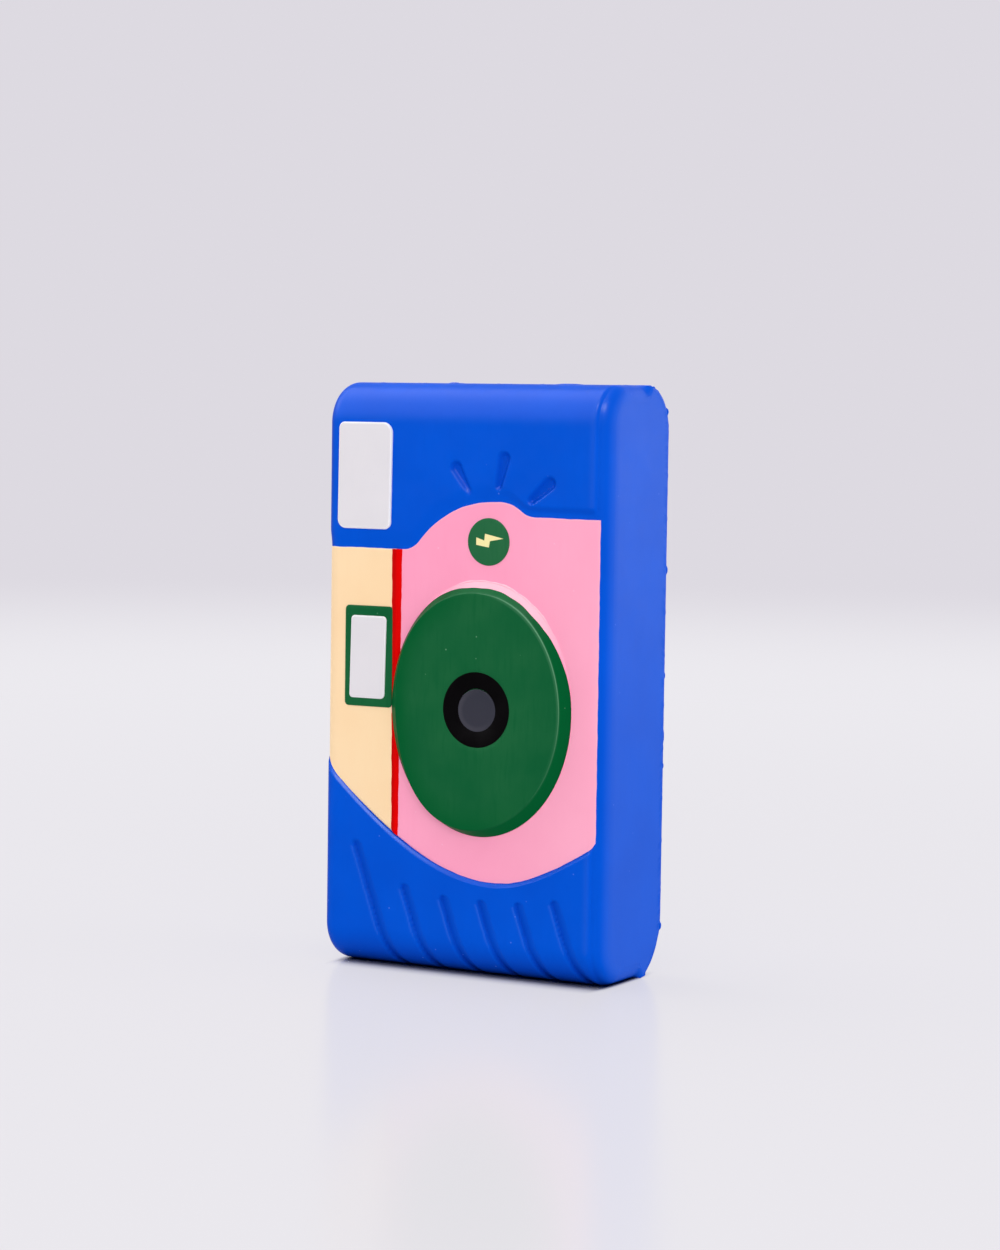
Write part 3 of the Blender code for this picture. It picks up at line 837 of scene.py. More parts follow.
    def surface(self, a: Array, b: Array, lift: Array | float = 0.0) -> Array:
        """The moulded front: the plain block's surface moved in by the depth and out by the lift.

        Args:
            a: Arc length across.
            b: Height, carried on over the roundings.
            lift: Distance out from the moulded surface.

        Returns:
            Points.
        """
        points, normal, turn, tilt = self.block.front_half(a, b)
        inward = self.mould(a, points[..., 2], turn, tilt)[0] - lift
        return points - inward[..., None] * normal

    def pool(self, a: Array, b: Array) -> Array:
        """Painted shade on the moulded front, up to 1, and painted highlights and sheen, down to -1."""
        points, _, turn, tilt = self.block.front_half(a, b)
        return self.mould(a, points[..., 2], turn, tilt)[1]


@dataclass
class FoamBody:
    """The foam body in its two mould halves, with the trimmed flash along the parting line.

    Each nub of the flash is its x, y and z, its height and its half length, in millimetres.
    """

    relief: Relief
    row_counts: tuple[int, ...] = (7, 36, 66, 22, 36, 14, 84, 26, 7)
    row_margin: float = 0.2 * MM
    column_counts: tuple[int, ...] = (13, 66, 116, 20, 20, 10)
    dense_columns: Pair = (-4.0 * MM, 20.0 * MM)
    strip_margin: float = 0.4 * MM
    strip_width: float = 2.2 * MM
    side_columns: int = 14
    side_face_sheen: float = 0.16
    back_columns: int = 80
    corner_columns: int = 8
    swell: float = 0.05 * MM
    swell_wave: float = 46.0 * MM
    swell_slant: float = 0.7
    flash_height: float = 0.10 * MM
    flash_half: float = 0.20 * MM
    flash_root: float = 0.2 * MM
    flash_wave: float = 7.0 * MM
    flash_base: float = 0.6
    flash_swing: float = 0.5
    flash_from: Pair = (0.3 * MM, 2.5 * MM)
    flash_up_points: int = 420
    flash_across_points: int = 160
    flash_section: tuple[Pair, ...] = (
        (-1.0, -0.6), (-0.7, 0.2), (-0.3, 0.9), (0.0, 1.0), (0.3, 0.9), (0.7, 0.2), (1.0, -0.6))
    nub_top: float = 1.25
    nubs_mm: tuple[tuple[float, float, float, float, float], ...] = (
        (29.5, 5.6, 107.6, 0.24, 0.5), (29.5, 11.0, 103.3, 0.40, 0.8), (29.5, 11.8, 74.5, 0.34, 0.9),
        (29.5, 11.8, 55.0, 0.22, 0.7), (29.5, 11.8, 44.0, 0.20, 1.4), (29.5, 11.8, 38.5, 0.22, 0.6),
        (29.5, 11.5, 8.8, 0.42, 0.9), (29.5, 5.6, 0.7, 0.26, 0.6), (-11.8, 5.0, 108.0, 0.22, 1.5),
        (12.5, 5.0, 108.0, 0.20, 3.5), (-29.5, 11.8, 62.0, 0.30, 1.0), (-29.5, 8.0, 105.0, 0.28, 0.9))

    def build(self, paint: Paintbox) -> None:
        """Makes the two foam halves and the flash.

        Args:
            paint: Dresses the pieces.
        """
        block = self.relief.block
        share = np.linspace(0.0, 1.0, sum(self.row_counts) + 1)
        drop = np.full_like(share, block.back_edge)
        ends = [block.back_half(np.full_like(share, side), share, drop)
                for side in (-block.half_width, block.half_width)]
        half = self.front(ends)
        paint.dress(half, Slot.BLUE, "foam_core", "front_skin")
        half = self.back(share, ends)
        paint.dress(half, Slot.BLUE, "back_skin")
        paint.dress(self.flash(), Slot.BLUE)

    def front_rows(self, x: Array) -> Array:
        """Heights of the front's rows: they follow the scoop and the crest, dense at the bevels.

        Args:
            x: Place across as arc length, one for each column.

        Returns:
            Heights, rows by columns, carried on over the roundings as arc length.
        """
        block, margin = self.relief.block, self.row_margin
        top, top_bevel = self.relief.band_top(x)
        foot, foot_bevel = self.relief.band_foot(x)
        low, high = block.front_radius, block.height - block.front_radius
        fixed = np.ones_like(x)
        knots = [fixed * (low - block.climb), fixed * (low - low * QUARTER), fixed * low,
                 foot - foot_bevel - margin, foot + margin, top - margin, top + top_bevel + margin,
                 fixed * high, fixed * (high + low * QUARTER), fixed * (high + block.climb)]
        rows = [start + (end - start) * (np.arange(count)[:, None] / count)
                for start, end, count in zip(knots[:-1], knots[1:], self.row_counts)]
        return np.concatenate([*rows, knots[-1][None]])

    def front_columns(self) -> Array:
        """Arc lengths of the front's columns, dense round the ray dents and at the raised ends' right edge.

        Returns:
            Arc lengths from the left side face to the right one.
        """
        block = self.relief.block
        flat = block.half_width - block.front_edge
        strip = self.relief.strip_start - self.strip_margin
        knots = (-block.reach, -flat, *self.dense_columns, strip, strip + self.strip_width, block.reach)
        spans = [np.linspace(start, end, count)[1:]
                 for start, end, count in zip(knots[:-1], knots[1:], self.column_counts)]
        return np.concatenate([[-block.reach], *spans])

    def front(self, ends: list[Array]) -> bpy.types.Object:
        """The front half: the moulded front, the two side faces and the flat cut towards the back half.

        Args:
            ends: Left and right back edge, rows by 3.

        Returns:
            The piece.
        """
        columns = self.front_columns()
        b = self.front_rows(columns)
        a = np.broadcast_to(columns, b.shape)
        face, pool = self.relief.surface(a, b), self.relief.pool(a, b)
        fall = np.linspace(1.0, 0.0, self.side_columns) ** 3
        shell = Shell()
        shell.grid(face, pool=pool)
        for column, end in zip((0, -1), ends):
            # Painted sheen on the side faces: the front's painted shade fades out and a lighter tone comes
            # in.
            side_shading = pool[:, column, None] * fall - self.side_face_sheen * (1.0 - fall)
            shell.grid(self.side(face[:, column], end), pool=side_shading)
        shell.grid(np.stack(ends, axis=1))
        for row in (face[0], face[-1]):
            shell.cap(row)
        return shell.piece("foam_front")

    def back(self, share: Array, ends: list[Array]) -> bpy.types.Object:
        """The back half: the back with its crisp edges and the flat cut towards the front half.

        Args:
            share: Rows from the lower to the upper parting line, 0 to 1.
            ends: Left and right back edge, rows by 3.

        Returns:
            The piece.
        """
        block = self.relief.block
        flat = block.half_width - block.back_edge
        corner = flat + block.back_edge * np.sin(np.linspace(0.0, QUARTER, self.corner_columns))
        x = np.concatenate([-corner[::-1], np.linspace(-flat, flat, self.back_columns)[1:-1], corner])
        grid_x, grid_share = np.meshgrid(x, share)
        drop = rounding(block.half_width - np.abs(grid_x), block.back_edge)
        face = block.back_half(grid_x, grid_share, drop)
        shell = Shell()
        shell.grid(face)
        shell.grid(np.stack(ends, axis=1))
        for row in (face[0], face[-1]):
            shell.cap(row)
        return shell.piece("foam_back")

    def side(self, chain: Array, end: Array) -> Array:
        """A side face, ruled from the front's last column to the back edge, with a faint unevenness.

        Args:
            chain: Front column, rows by 3.
            end: Back edge, rows by 3.

        Returns:
            Grid of rows by columns by 3.
        """
        t = np.linspace(0.0, 1.0, self.side_columns)[None, :, None]
        face = chain[:, None] * (1.0 - t) + end[:, None] * t
        arch = np.sin(math.pi * t[..., 0])
        along = face[..., 2] + self.swell_slant * face[..., 1]
        swell = arch * waver(along, 11, self.swell, self.swell_wave)
        face[..., 0] += np.sign(face[..., 0]) * (swell - self.swell * arch)
        return face

    def flash(self) -> bpy.types.Object:
        """The trimmed flash: a thin fin carried along the back half's edge, with nubs left by the knife.

        The fin's height wavers, fades out at the floor, and rises to each nub's height over its length.

        Returns:
            The piece.
        """
        path, out = self.parting_loop()
        ahead = np.roll(path, -1, axis=0) - np.roll(path, 1, axis=0)
        ahead /= np.linalg.norm(ahead, axis=1, keepdims=True)
        wide = np.cross(ahead, out)
        along = np.concatenate([[0.0], np.cumsum(np.linalg.norm(np.diff(path, axis=0), axis=1))])
        swing = self.flash_swing * waver(along, 5, 1.0, self.flash_wave) ** 2
        height = self.flash_height * (self.flash_base + swing)
        height *= ramp(path[:, 2], self.flash_from)
        for x, y, z, tall, half_length in np.array(self.nubs_mm) * MM:
            nearest = np.argmin(np.linalg.norm(path - np.array([x, y, z]), axis=1))
            off = np.abs(along - along[nearest]) / half_length
            height = np.maximum(height, tall * ease(self.nub_top - off))
        profile = np.array(self.flash_section)
        aside, up = profile[:, :1], profile[:, 1]
        rise = np.where(up > 0.0, up * height[:, None], up * self.flash_root)
        section = path[:, None] + wide[:, None] * (aside * self.flash_half) + out[:, None] * rise[..., None]
        shell = Shell()
        shell.grid(np.concatenate([section, section[:1]]), closed=True)
        return shell.piece("parting_flash", sharp=70.0)

    def parting_loop(self) -> tuple[Array, Array]:
        """The mould's parting line: up the right back edge, across the top, down the left and back below.

        Returns:
            Points, and the directions in which the fin stands out.
        """
        block = self.relief.block
        slant = math.sqrt(0.5)
        inset = block.back_edge * (1.0 - slant)
        share = np.linspace(0.0, 1.0, self.flash_up_points)
        x, drop = np.full_like(share, block.half_width - inset), np.full_like(share, inset)
        right = block.back_half(x, share, drop)
        right_out = (block.back_half(x + slant * MM, share, drop - slant * MM) - right) / MM
        across = np.linspace(1.0, -1.0, self.flash_across_points)[1:-1]
        top = np.tile([0.0, right[-1, 1], block.height], (len(across), 1))
        top[:, 0] = right[-1, 0] * across
        bottom = top * np.array([-1.0, 1.0, 0.0])
        up = np.tile([0.0, 0.0, 1.0], (len(across), 1))
        mirror = np.array([-1.0, 1.0, 1.0])
        path = np.concatenate([right, top, right[::-1] * mirror, bottom])
        return path, np.concatenate([right_out, up, right_out[::-1] * mirror, -up])


@dataclass
class ColourCoats:
    """The sprayed coats of the picture band: cream, red stripe and pink.

    A coat's sides are pairs: the arc length at the bottom and at the top.
    """

    relief: Relief
    root: float = 0.10 * MM
    wrap: float = 2.0 * MM
    cream_right: Pair = (-14.15 * MM, -14.15 * MM)
    cream_edge_paler: float = 0.6
    pink_left: Pair = (-13.75 * MM, -13.75 * MM)
    pink_right: Pair = (28.0 * MM, 28.0 * MM)
    pink_corner: float = 0.6 * MM
    pink_corner_from: Pair = (27.0 * MM, 1.2 * MM)
    pink_rim: float = 0.55
    pink_rim_width: float = 0.35 * MM
    pink_light: Pair = (0.20, 0.09)
    pink_light_right: Pair = (2.0 * MM, 24.0 * MM)
    pink_light_low: Pair = (-60.0 * MM, 40.0 * MM)
    top_rim_width: float = 0.30 * MM
    stripe_left: Pair = (-14.60 * MM, -15.10 * MM)
    stripe_right: Pair = (-13.20 * MM, -12.98 * MM)
    stripe_film: float = 0.09 * MM
    stripe_ridge: float = 0.26 * MM
    stripe_left_shade: float = 0.9
    stripe_fade: Pair = (-0.62, 0.3)
    heights: Pair = (18.0 * MM, 86.0 * MM)
    left_swing: float = 0.06 * MM
    edge_swing: float = 0.05 * MM

    def build(self, paint: Paintbox) -> None:
        """Makes the three coats.

        Args:
            paint: Dresses the pieces.
        """
        paint.dress(self.cream(), Slot.CREAM, "cream_band")
        paint.dress(self.pink(), Slot.PINK, "pink_panel")
        paint.dress(self.stripe(), Slot.RED, "red_stripe")

    def cream(self) -> bpy.types.Object:
        """The cream coat, carried round the left edge, paler along its upper edge.

        Returns:
            The piece.
        """
        left = -(self.relief.block.reach + self.wrap)
        a, low, high, _, v = self.outline((left, left), self.cream_right, columns=60, rows=130, seed=21)
        pool = -self.cream_edge_paler * ease(1.0 - (high - low) * (1.0 - v) / self.top_rim_width)
        return self.coat("cream_band", a, low + (high - low) * v, pool, self.relief.film)

    def pink(self) -> bpy.types.Object:
        """The pink coat, with painted light that makes it paler to the right and at the bottom, and paler
        along its right and upper edge.

        Returns:
            The piece.
        """
        a, low, high, _, v = self.outline(self.pink_left, self.pink_right, columns=140, rows=200, seed=22)
        low = low + self.pink_corner * ramp(a, self.pink_corner_from)
        z = low + (high - low) * v
        rim = np.minimum((a[:, -1:] - a) / self.pink_rim_width, (high - low) * (1.0 - v) / self.top_rim_width)
        # Painted light: paler towards the right and lower down.
        pink_light_share = self.pink_light[0] * ramp(a, self.pink_light_right)
        pink_light_share = pink_light_share + self.pink_light[1] * ramp(-z, self.pink_light_low)
        pool = np.maximum(pink_light_share, self.pink_rim * ease(1.0 - rim))
        return self.coat("pink_panel", a, z, pool, self.relief.film)

    def stripe(self) -> bpy.types.Object:
        """The red stripe: a thick line with a parabola for its section, with painted shade on its left.

        Returns:
            The piece.
        """
        a, low, high, u, v = self.outline(self.stripe_left, self.stripe_right, columns=11, rows=150, seed=23)
        ridge = self.stripe_ridge * (1.0 - (2.0 * u - 1.0) ** 2)
        # Painted shade on the stripe's left half.
        pool = self.stripe_left_shade * ramp(-u, self.stripe_fade)
        return self.coat("red_stripe", a, low + (high - low) * v, pool, self.stripe_film, ridge)

    def outline(self, left: Pair, right: Pair, columns: int, rows: int, seed: int) -> tuple[Array, ...]:
        """The ground that a coat covers, between the scoop and the crest, with hand-masked edges.

        Args:
            left: Left side.
            right: Right side.
            columns: Columns of the grid.
            rows: Rows of the grid.
            seed: Picks the wander of the edges.

        Returns:
            Arc length across, lower edge, upper edge, share across and share upwards, each rows by columns.
        """
        u, v = np.meshgrid(np.linspace(0.0, 1.0, columns), np.linspace(0.0, 1.0, rows))
        along = between(self.heights, v)
        start = between(left, v) + waver(along, seed, self.left_swing)
        end = between(right, v) + waver(along, seed + 100, self.edge_swing)
        a = start + (end - start) * u
        low = self.relief.scoop(a) + waver(a, seed + 200, self.edge_swing)
        high = self.relief.crest(a) + waver(a, seed + 300, self.edge_swing)
        return a, low, high, u, v

    def coat(self, name: str, a: Array, z: Array, pool: Array, film: float,
             ridge: Array | float = 0.0) -> bpy.types.Object:
        """One coat: a thin closed film on the moulded surface, rooted a little below it.

        Args:
            name: Name of the piece.
            a: Arc length across.
            z: Height.
            pool: How far the paint has pooled or worn thin.
            film: Thickness of the paint.
            ridge: Further height over the film.

        Returns:
            The piece.
        """
        top = self.relief.surface(a, z, film + ridge)
        bottom = self.relief.surface(a, z, ridge - self.root)
        shell = Shell()
        shell.slab(top, bottom, pool)
        return shell.piece(name)


@dataclass
class Pane:
    """A raised pane with rounded corners, a soft edge and a faintly crowned face."""

    name: str
    x: Pair
    z: Pair
    seat: float
    rise: float
    corners: tuple[float, float, float, float]
    edge: float
    crown: float
    lean: float = 0.0
    bulge: float = 0.0
    root: float = 0.3 * MM
    rim_paler: float = 0.7
    rim_span: Pair = (1.05, 0.6)
    middle: float = 0.02 * MM
    least_corner: float = 0.01 * MM

    def piece(self) -> bpy.types.Object:
        """The pane: insets of its outline at the heights of a wall, a quarter round and a crown.

        Its right side bulges by a parabola, and its rim is paler.

        Returns:
            The piece.
        """
        half_width, half_height = (self.x[1] - self.x[0]) / 2, (self.z[1] - self.z[0]) / 2
        centre = np.array([(self.x[0] + self.x[1]) / 2, self.seat, (self.z[0] + self.z[1]) / 2])
        turn = np.linspace(0.0, QUARTER, 7)
        face = np.linspace(self.edge, half_width - self.middle, 9)[1:]
        inset = np.concatenate([[0.0], self.edge * (1.0 - np.cos(turn)), face])
        share = (face - self.edge) / (half_width - self.edge)
        height = np.concatenate([[-self.root], self.rise - self.edge + self.edge * np.sin(turn),
                                 self.rise + self.crown * (1.0 - (1.0 - share) ** 2)])
        points = inset_loops((half_width, half_height), inset, height, self.corners, self.least_corner)
        right = np.clip(points[..., 0] / half_width, 0.0, None)
        upright = 1.0 - (points[..., 2] / half_height) ** 2
        points[..., 0] += self.lean * points[..., 2] + self.bulge * right * upright
        inner, width = self.rim_span
        rim = self.rim_paler * ease((inner * self.edge - inset) / (width * self.edge))
        shell = Shell()
        shell.grid(points + centre, closed=True, pool=rim[:, None])
        shell.cap(points[0] + centre)
        shell.cap(points[-1] + centre)
        return shell.piece(self.name)


@dataclass
class FrontWindows:
    """Flash pane on the shutter end, and the viewfinder's frame and pane beside the lens.

    The frame's section is inset and height of each of its loops, in millimetres.
    """

    relief: Relief
    flash_x: Pair = (-26.45 * MM, -15.1 * MM)
    flash_z: Pair = (81.1 * MM, 100.7 * MM)
    flash_corners: tuple[float, float, float, float] = (1.9 * MM, 1.1 * MM, 1.7 * MM, 1.3 * MM)
    finder_x: Pair = (-24.95 * MM, -14.75 * MM)
    finder_z: Pair = (48.30 * MM, 66.92 * MM)
    pane_x: Pair = (-23.75 * MM, -16.15 * MM)
    pane_z: Pair = (49.8 * MM, 65.1 * MM)
    pane_corners: tuple[float, float, float, float] = (0.8 * MM, 0.7 * MM, 0.7 * MM, 0.9 * MM)
    frame_corner: float = 0.8 * MM
    frame_inner_corner: float = 0.2 * MM
    frame_section_mm: tuple[Pair, ...] = (
        (0.0, -0.3), (0.0, 0.08), (0.05, 0.17), (0.15, 0.2), (0.7, 0.2), (1.4, 0.2), (1.9, 0.2), (1.9, -0.3))

    def build(self, paint: Paintbox) -> None:
        """Makes the flash pane, the viewfinder's frame and its pane.

        Args:
            paint: Dresses the pieces.
        """
        pane = Pane("flash_window", self.flash_x, self.flash_z, -self.relief.block.front, rise=0.5 * MM,
                    corners=self.flash_corners, edge=0.36 * MM, crown=0.16 * MM, lean=0.009, bulge=0.18 * MM)
        paint.dress(pane.piece(), Slot.WINDOW, "flash_window")
        paint.dress(self.frame(), Slot.GREEN, "viewfinder_frame")
        pane = Pane("viewfinder_window", self.pane_x, self.pane_z, self.relief.seat, rise=0.45 * MM,
                    corners=self.pane_corners, edge=0.33 * MM, crown=0.08 * MM, lean=0.02)
        paint.dress(pane.piece(), Slot.WINDOW, "viewfinder_window")

    def frame(self) -> bpy.types.Object:
        """The frame: a low ring whose section is a wall, a round, a flat, a round and a wall.

        Returns:
            The piece.
        """
        half = ((self.finder_x[1] - self.finder_x[0]) / 2, (self.finder_z[1] - self.finder_z[0]) / 2)
        centre = np.array([sum(self.finder_x) / 2, self.relief.seat, sum(self.finder_z) / 2])
        inset, height = np.array(self.frame_section_mm).T * MM
        points = inset_loops(half, inset, height, (self.frame_corner,) * 4, self.frame_inner_corner)
        shell = Shell()
        shell.grid(np.concatenate([points, points[:1]]) + centre, closed=True)
        return shell.piece("viewfinder_frame")


@dataclass
class FlashBadge:
    """The round green badge over the lens, with its cream bolt sign."""

    relief: Relief
    radius: float = 4.3 * MM
    inner_radius: float = 2.0 * MM
    rise: float = 0.2 * MM
    root: float = 0.3 * MM
    edge: float = 0.18 * MM
    wear: float = 0.08
    bolt_mm: tuple[Pair, ...] = (
        (-2.45, 0.75), (-0.81, 0.22), (-0.66, 1.46), (3.14, 0.67), (0.33, 0.14), (0.16, -1.0), (-2.47, -0.59))
    bolt_root: float = 0.1 * MM
    bolt_film: float = 0.04 * MM
    points: int = 96

    def build(self, paint: Paintbox) -> None:
        """Makes the badge and the bolt and dresses them with the paint."""
        paint.dress(self.badge(), Slot.GREEN, "flash_badge")
        paint.dress(self.bolt(), Slot.CREAM)

    def badge(self) -> bpy.types.Object:
        """The badge: circles down a wall, over a small quarter round and in to the middle.

        Returns:
            The piece.
        """
        turn = np.linspace(0.0, QUARTER, 6)
        edge = self.radius - self.edge * (1.0 - np.cos(turn))
        radii = np.concatenate([[0.0, self.radius], edge, [self.inner_radius, 0.0]])
        rise = np.concatenate([[-self.root, -self.root], self.rise - self.edge * (1.0 - np.sin(turn)),
                               [self.rise, self.rise]])
        centre = (self.relief.badge_x, self.relief.badge_z)
        shell = Shell()
        loops = oval_loft(centre, radii, radii, self.relief.seat - rise, self.points)
        shell.grid(loops, closed=True, pool=-self.wear)
        return shell.piece("flash_badge")

    def bolt(self) -> bpy.types.Object:
        """The bolt: its outline carried from inside the badge to a film over its face.

        Returns:
            The piece.
        """
        corners = np.array(self.bolt_mm) * MM
        x, z = corners[:, 0] + self.relief.badge_x, corners[:, 1] + self.relief.badge_z
        face = self.relief.seat - self.rise
        steps = (self.bolt_root, -self.bolt_film)
        loops = [np.stack([x, np.full_like(x, face + step), z], axis=-1) for step in steps]
        shell = Shell()
        shell.grid(np.stack(loops), closed=True, pool=1.0)
        for loop in loops:
            shell.cap(loop, 1.0)
        return shell.piece("flash_bolt")


@dataclass
class Lens:
    """The oval lens mount with its drafted wall, the dished black ring and the grey pupil.

    An oval is its centre's x and z, its half width and its half height. The pupil's flat is the share of its
    radius and the painted light on each of its loops.
    """

    relief: Relief
    base: tuple[float, float, float, float] = (3.90 * MM, 49.05 * MM, 18.74 * MM, 23.20 * MM)
    top: tuple[float, float, float, float] = (4.18 * MM, 49.16 * MM, 16.87 * MM, 21.06 * MM)
    face: float = -13.5 * MM
    points: int = 240

    wall_slope: float = math.radians(45.5)
    wall_round: float = 0.42 * MM
    wall_root: float = 0.35
    face_start: float = 0.6 * MM
    lower_left: float = 0.70
    lower_left_at: Pair = (math.radians(240.0), math.radians(62.0))
    upper_left: float = 0.45
    upper_left_at: Pair = (math.radians(142.0), math.radians(58.0))
    left_shade: float = 0.9
    left_shade_fade: float = 3.2
    left_shade_turn: float = math.radians(15.0)
    left_shade_span: Pair = (0.5, 0.7)
    wall_shade_top: float = 0.9
    edge_highlight_turn: float = math.radians(45.0)
    edge_highlight: Pair = (0.14, 0.90)
    edge_at: Pair = (1.03, 0.10)

    splash: float = 0.50
    splash_least: float = 0.02
    splash_film: float = 0.05 * MM
    splash_root: float = 0.25 * MM
    splash_flare: float = 0.28 * MM
    splash_from: Pair = (math.radians(6.0), math.radians(50.0))
    splash_to: Pair = (math.radians(90.0), math.radians(46.0))
    splash_highlight: float = 0.9
    splash_wave: Pair = (0.09, 0.7)
    splash_under: float = 0.15
    flare_wave: Pair = (0.55, 0.42)
    flare_shares: Place = (1.0, 0.6, 0.25)
    flare_rise: Place = (0.0, 0.06 * MM, 0.12 * MM)

    ring_centre: Pair = (4.07 * MM, 49.15 * MM)
    ring_radius: float = 6.85 * MM
    ring_proud: float = 0.03 * MM
    ring_root: float = 0.55 * MM
    ring_points: int = 120
    dish: float = 0.28 * MM
    dish_power: float = 1.6
    pocket: tuple[Pair, ...] = ((6.9 * MM, 0.0), (6.8 * MM, 0.05 * MM), (6.8 * MM, 0.6 * MM), (0.0, 0.6 * MM))
    pupil_centre: Pair = (4.05 * MM, 48.99 * MM)
    pupil_radius: float = 3.88 * MM
    pupil_rim: float = 0.12 * MM
    pupil_root: float = 0.56 * MM
    pupil_up: float = 0.02 * MM
    pupil_light_turn: float = math.radians(30.0)
    pupil_light_span: Pair = (0.5, 0.6)
    pupil_rim_light: float = 0.5
    pupil_flat: tuple[Pair, ...] = ((0.9, 0.8), (0.8, 0.5), (0.7, 0.0), (0.0, 0.0))
    pupil_points: int = 96

    def build(self, paint: Paintbox) -> None:
        """Makes the mount, the pink splash on its wall, the ring and the pupil.

        Args:
            paint: Dresses the pieces.
        """
        paint.dress(self.collar(), Slot.PINK)
        paint.dress(self.mount(), Slot.GREEN, "lens_disc")
        paint.dress(self.ring(), Slot.BLACK, "lens_ring")
        paint.dress(self.pupil(), Slot.PUPIL, "lens_pupil")

    @property
    def height(self) -> float:
        """Height of the mount's face over the pink coat that it stands on."""
        return self.relief.seat - self.face

    def profile(self) -> tuple[Array, Array]:
        """The wall's section: a straight draft, then an arc that turns it into the flat face.

        Returns:
            Share of the way from base to top oval, and share of the height.
        """
        angle = np.linspace(self.wall_slope, 0.0, 10)
        straight = self.height - self.wall_round * (1.0 - math.cos(self.wall_slope))
        foot = straight / math.tan(self.wall_slope)
        run = foot + self.wall_round * (math.sin(self.wall_slope) - np.sin(angle))
        rise = straight + self.wall_round * (np.cos(angle) - math.cos(self.wall_slope))
        share = np.array([0.0, 0.0, 0.25, 0.5, 0.75, 0.92])
        way = self.base[2] - self.top[2]
        along = np.concatenate([share * foot, run, [run[-1] + self.face_start]]) / way
        up = np.concatenate([share * straight, rise, [self.height]]) / self.height
        up[0] = -self.wall_root
        return along[:, None], up[:, None]

    def oval(self, along: Array, up: Array, turn: Array, out: float = 0.0) -> Array:
        """Points on the mount: an oval blended from base to top, at a share of the mount's height.

        The draft is steeper on the left, where the way to the top oval shrinks by two smooth humps.

        Args:
            along: 0 on the base oval, 1 on the top oval.
            up: 0 at the seat, 1 at the face.
            turn: Angle round the oval.
            out: Distance outwards across the wall.

        Returns:
            Points.
        """
        lower = self.lower_left * hump(turn, *self.lower_left_at)
        upper = self.upper_left * hump(turn, *self.upper_left_at)
        along = along * (1.0 - lower - upper)
        cx, cz, half_w, half_h = (between(ends, along) for ends in zip(self.base, self.top))
        aside = out * math.sqrt(0.5)
        y = self.relief.seat - self.height * up - aside
        x = cx + (half_w + aside) * np.cos(turn)
        z = cz + (half_h + aside) * np.sin(turn)
        return np.stack(np.broadcast_arrays(x, y, z), axis=-1)

    def collar(self) -> bpy.types.Object:
        """The pink coat's splash up the wall: a film whose height follows the angle round the oval.

        It is highest from the upper right to the top and almost nothing on the left and below, and a painted
        highlight makes it paler where it is high.

        Returns:
            The piece.
        """
        turn = around(self.points)
        reach = ramp(turn, self.splash_from) * (1.0 - ramp(turn, self.splash_to))
        high = self.splash * reach * (1.0 + waver(turn, 31, *self.splash_wave)) + self.splash_least
        share = high * np.linspace(0.0, 1.0, 9)[:, None]
        slope = math.tan(self.wall_slope) * (self.base[2] - self.top[2]) / self.height
        outer = self.oval(share, share * slope, turn, self.splash_film)
        inner = self.oval(share[::-1], share[::-1] * slope, turn, -self.splash_root)
        flare = self.splash_flare * reach * (1.0 + waver(turn, 32, *self.flare_wave))
        flare = np.array(self.flare_shares)[:, None] * flare
        level = np.zeros_like(flare)
        foot = self.oval(level, level, turn, self.splash_film)
        foot += np.stack([flare * np.cos(turn), level, flare * np.sin(turn)], axis=-1)
        foot[..., 1] = self.relief.seat - np.array(self.flare_rise)[:, None] * reach
        under = level[:1] - self.splash_under
        root = self.oval(under, under, turn, -self.splash_root)
        shell = Shell()
        # Painted highlight: the splash is paler where it reaches highest.
        shell.grid(np.concatenate([foot, outer, inner, root, foot[:1]]), closed=True,
                   pool=(self.splash_highlight * reach)[None, :])
        return shell.piece("lens_collar")

    def mount(self) -> bpy.types.Object:
        """The mount: ovals up the drafted wall, over a small round, in to the ring's pocket.

        Painted shade darkens the wall and the face near its left edge, and a painted highlight lightens the
        right edge.

        Returns:
            The piece.
        """
        turn = around(self.points)
        along, up = self.profile()
        rising = self.oval(along, up, turn)
        radii, depths = np.array(self.pocket).T
        pocket = oval_loft(self.ring_centre, radii, radii, self.face + depths, self.points)
        share = np.linspace(0.0, 1.0, 12)[1:-1, None]
        face = rising[-1] * (1.0 - share[..., None]) + pocket[0] * share[..., None]
        bottom = np.broadcast_to(rising[0].mean(axis=0), rising[:1].shape)
        # Painted shade on the wall and near the left edge, and a painted highlight along the upper right
        # edge.
        middle, swing = self.left_shade_span
        left = ease(middle - swing * np.cos(turn - self.left_shade_turn))
        upper = np.clip(np.cos(turn - self.edge_highlight_turn), 0.0, 1.0) ** 2
        painted_highlight = between(self.edge_highlight, upper) * (1.0 - left) * hump(along, *self.edge_at)
        wall_shade = np.where(up < self.wall_shade_top, 1.0, self.left_shade * left - painted_highlight)
        face_shade = self.left_shade * left * np.clip(1.0 - self.left_shade_fade * share, 0.0, 1.0)
        pool = np.concatenate([np.zeros((1, self.points)), wall_shade, face_shade, np.zeros(pocket.shape[:2])])
        shell = Shell()
        shell.grid(np.concatenate([bottom, rising, face, pocket]), closed=True, pool=pool)
        return shell.piece("lens_disc")

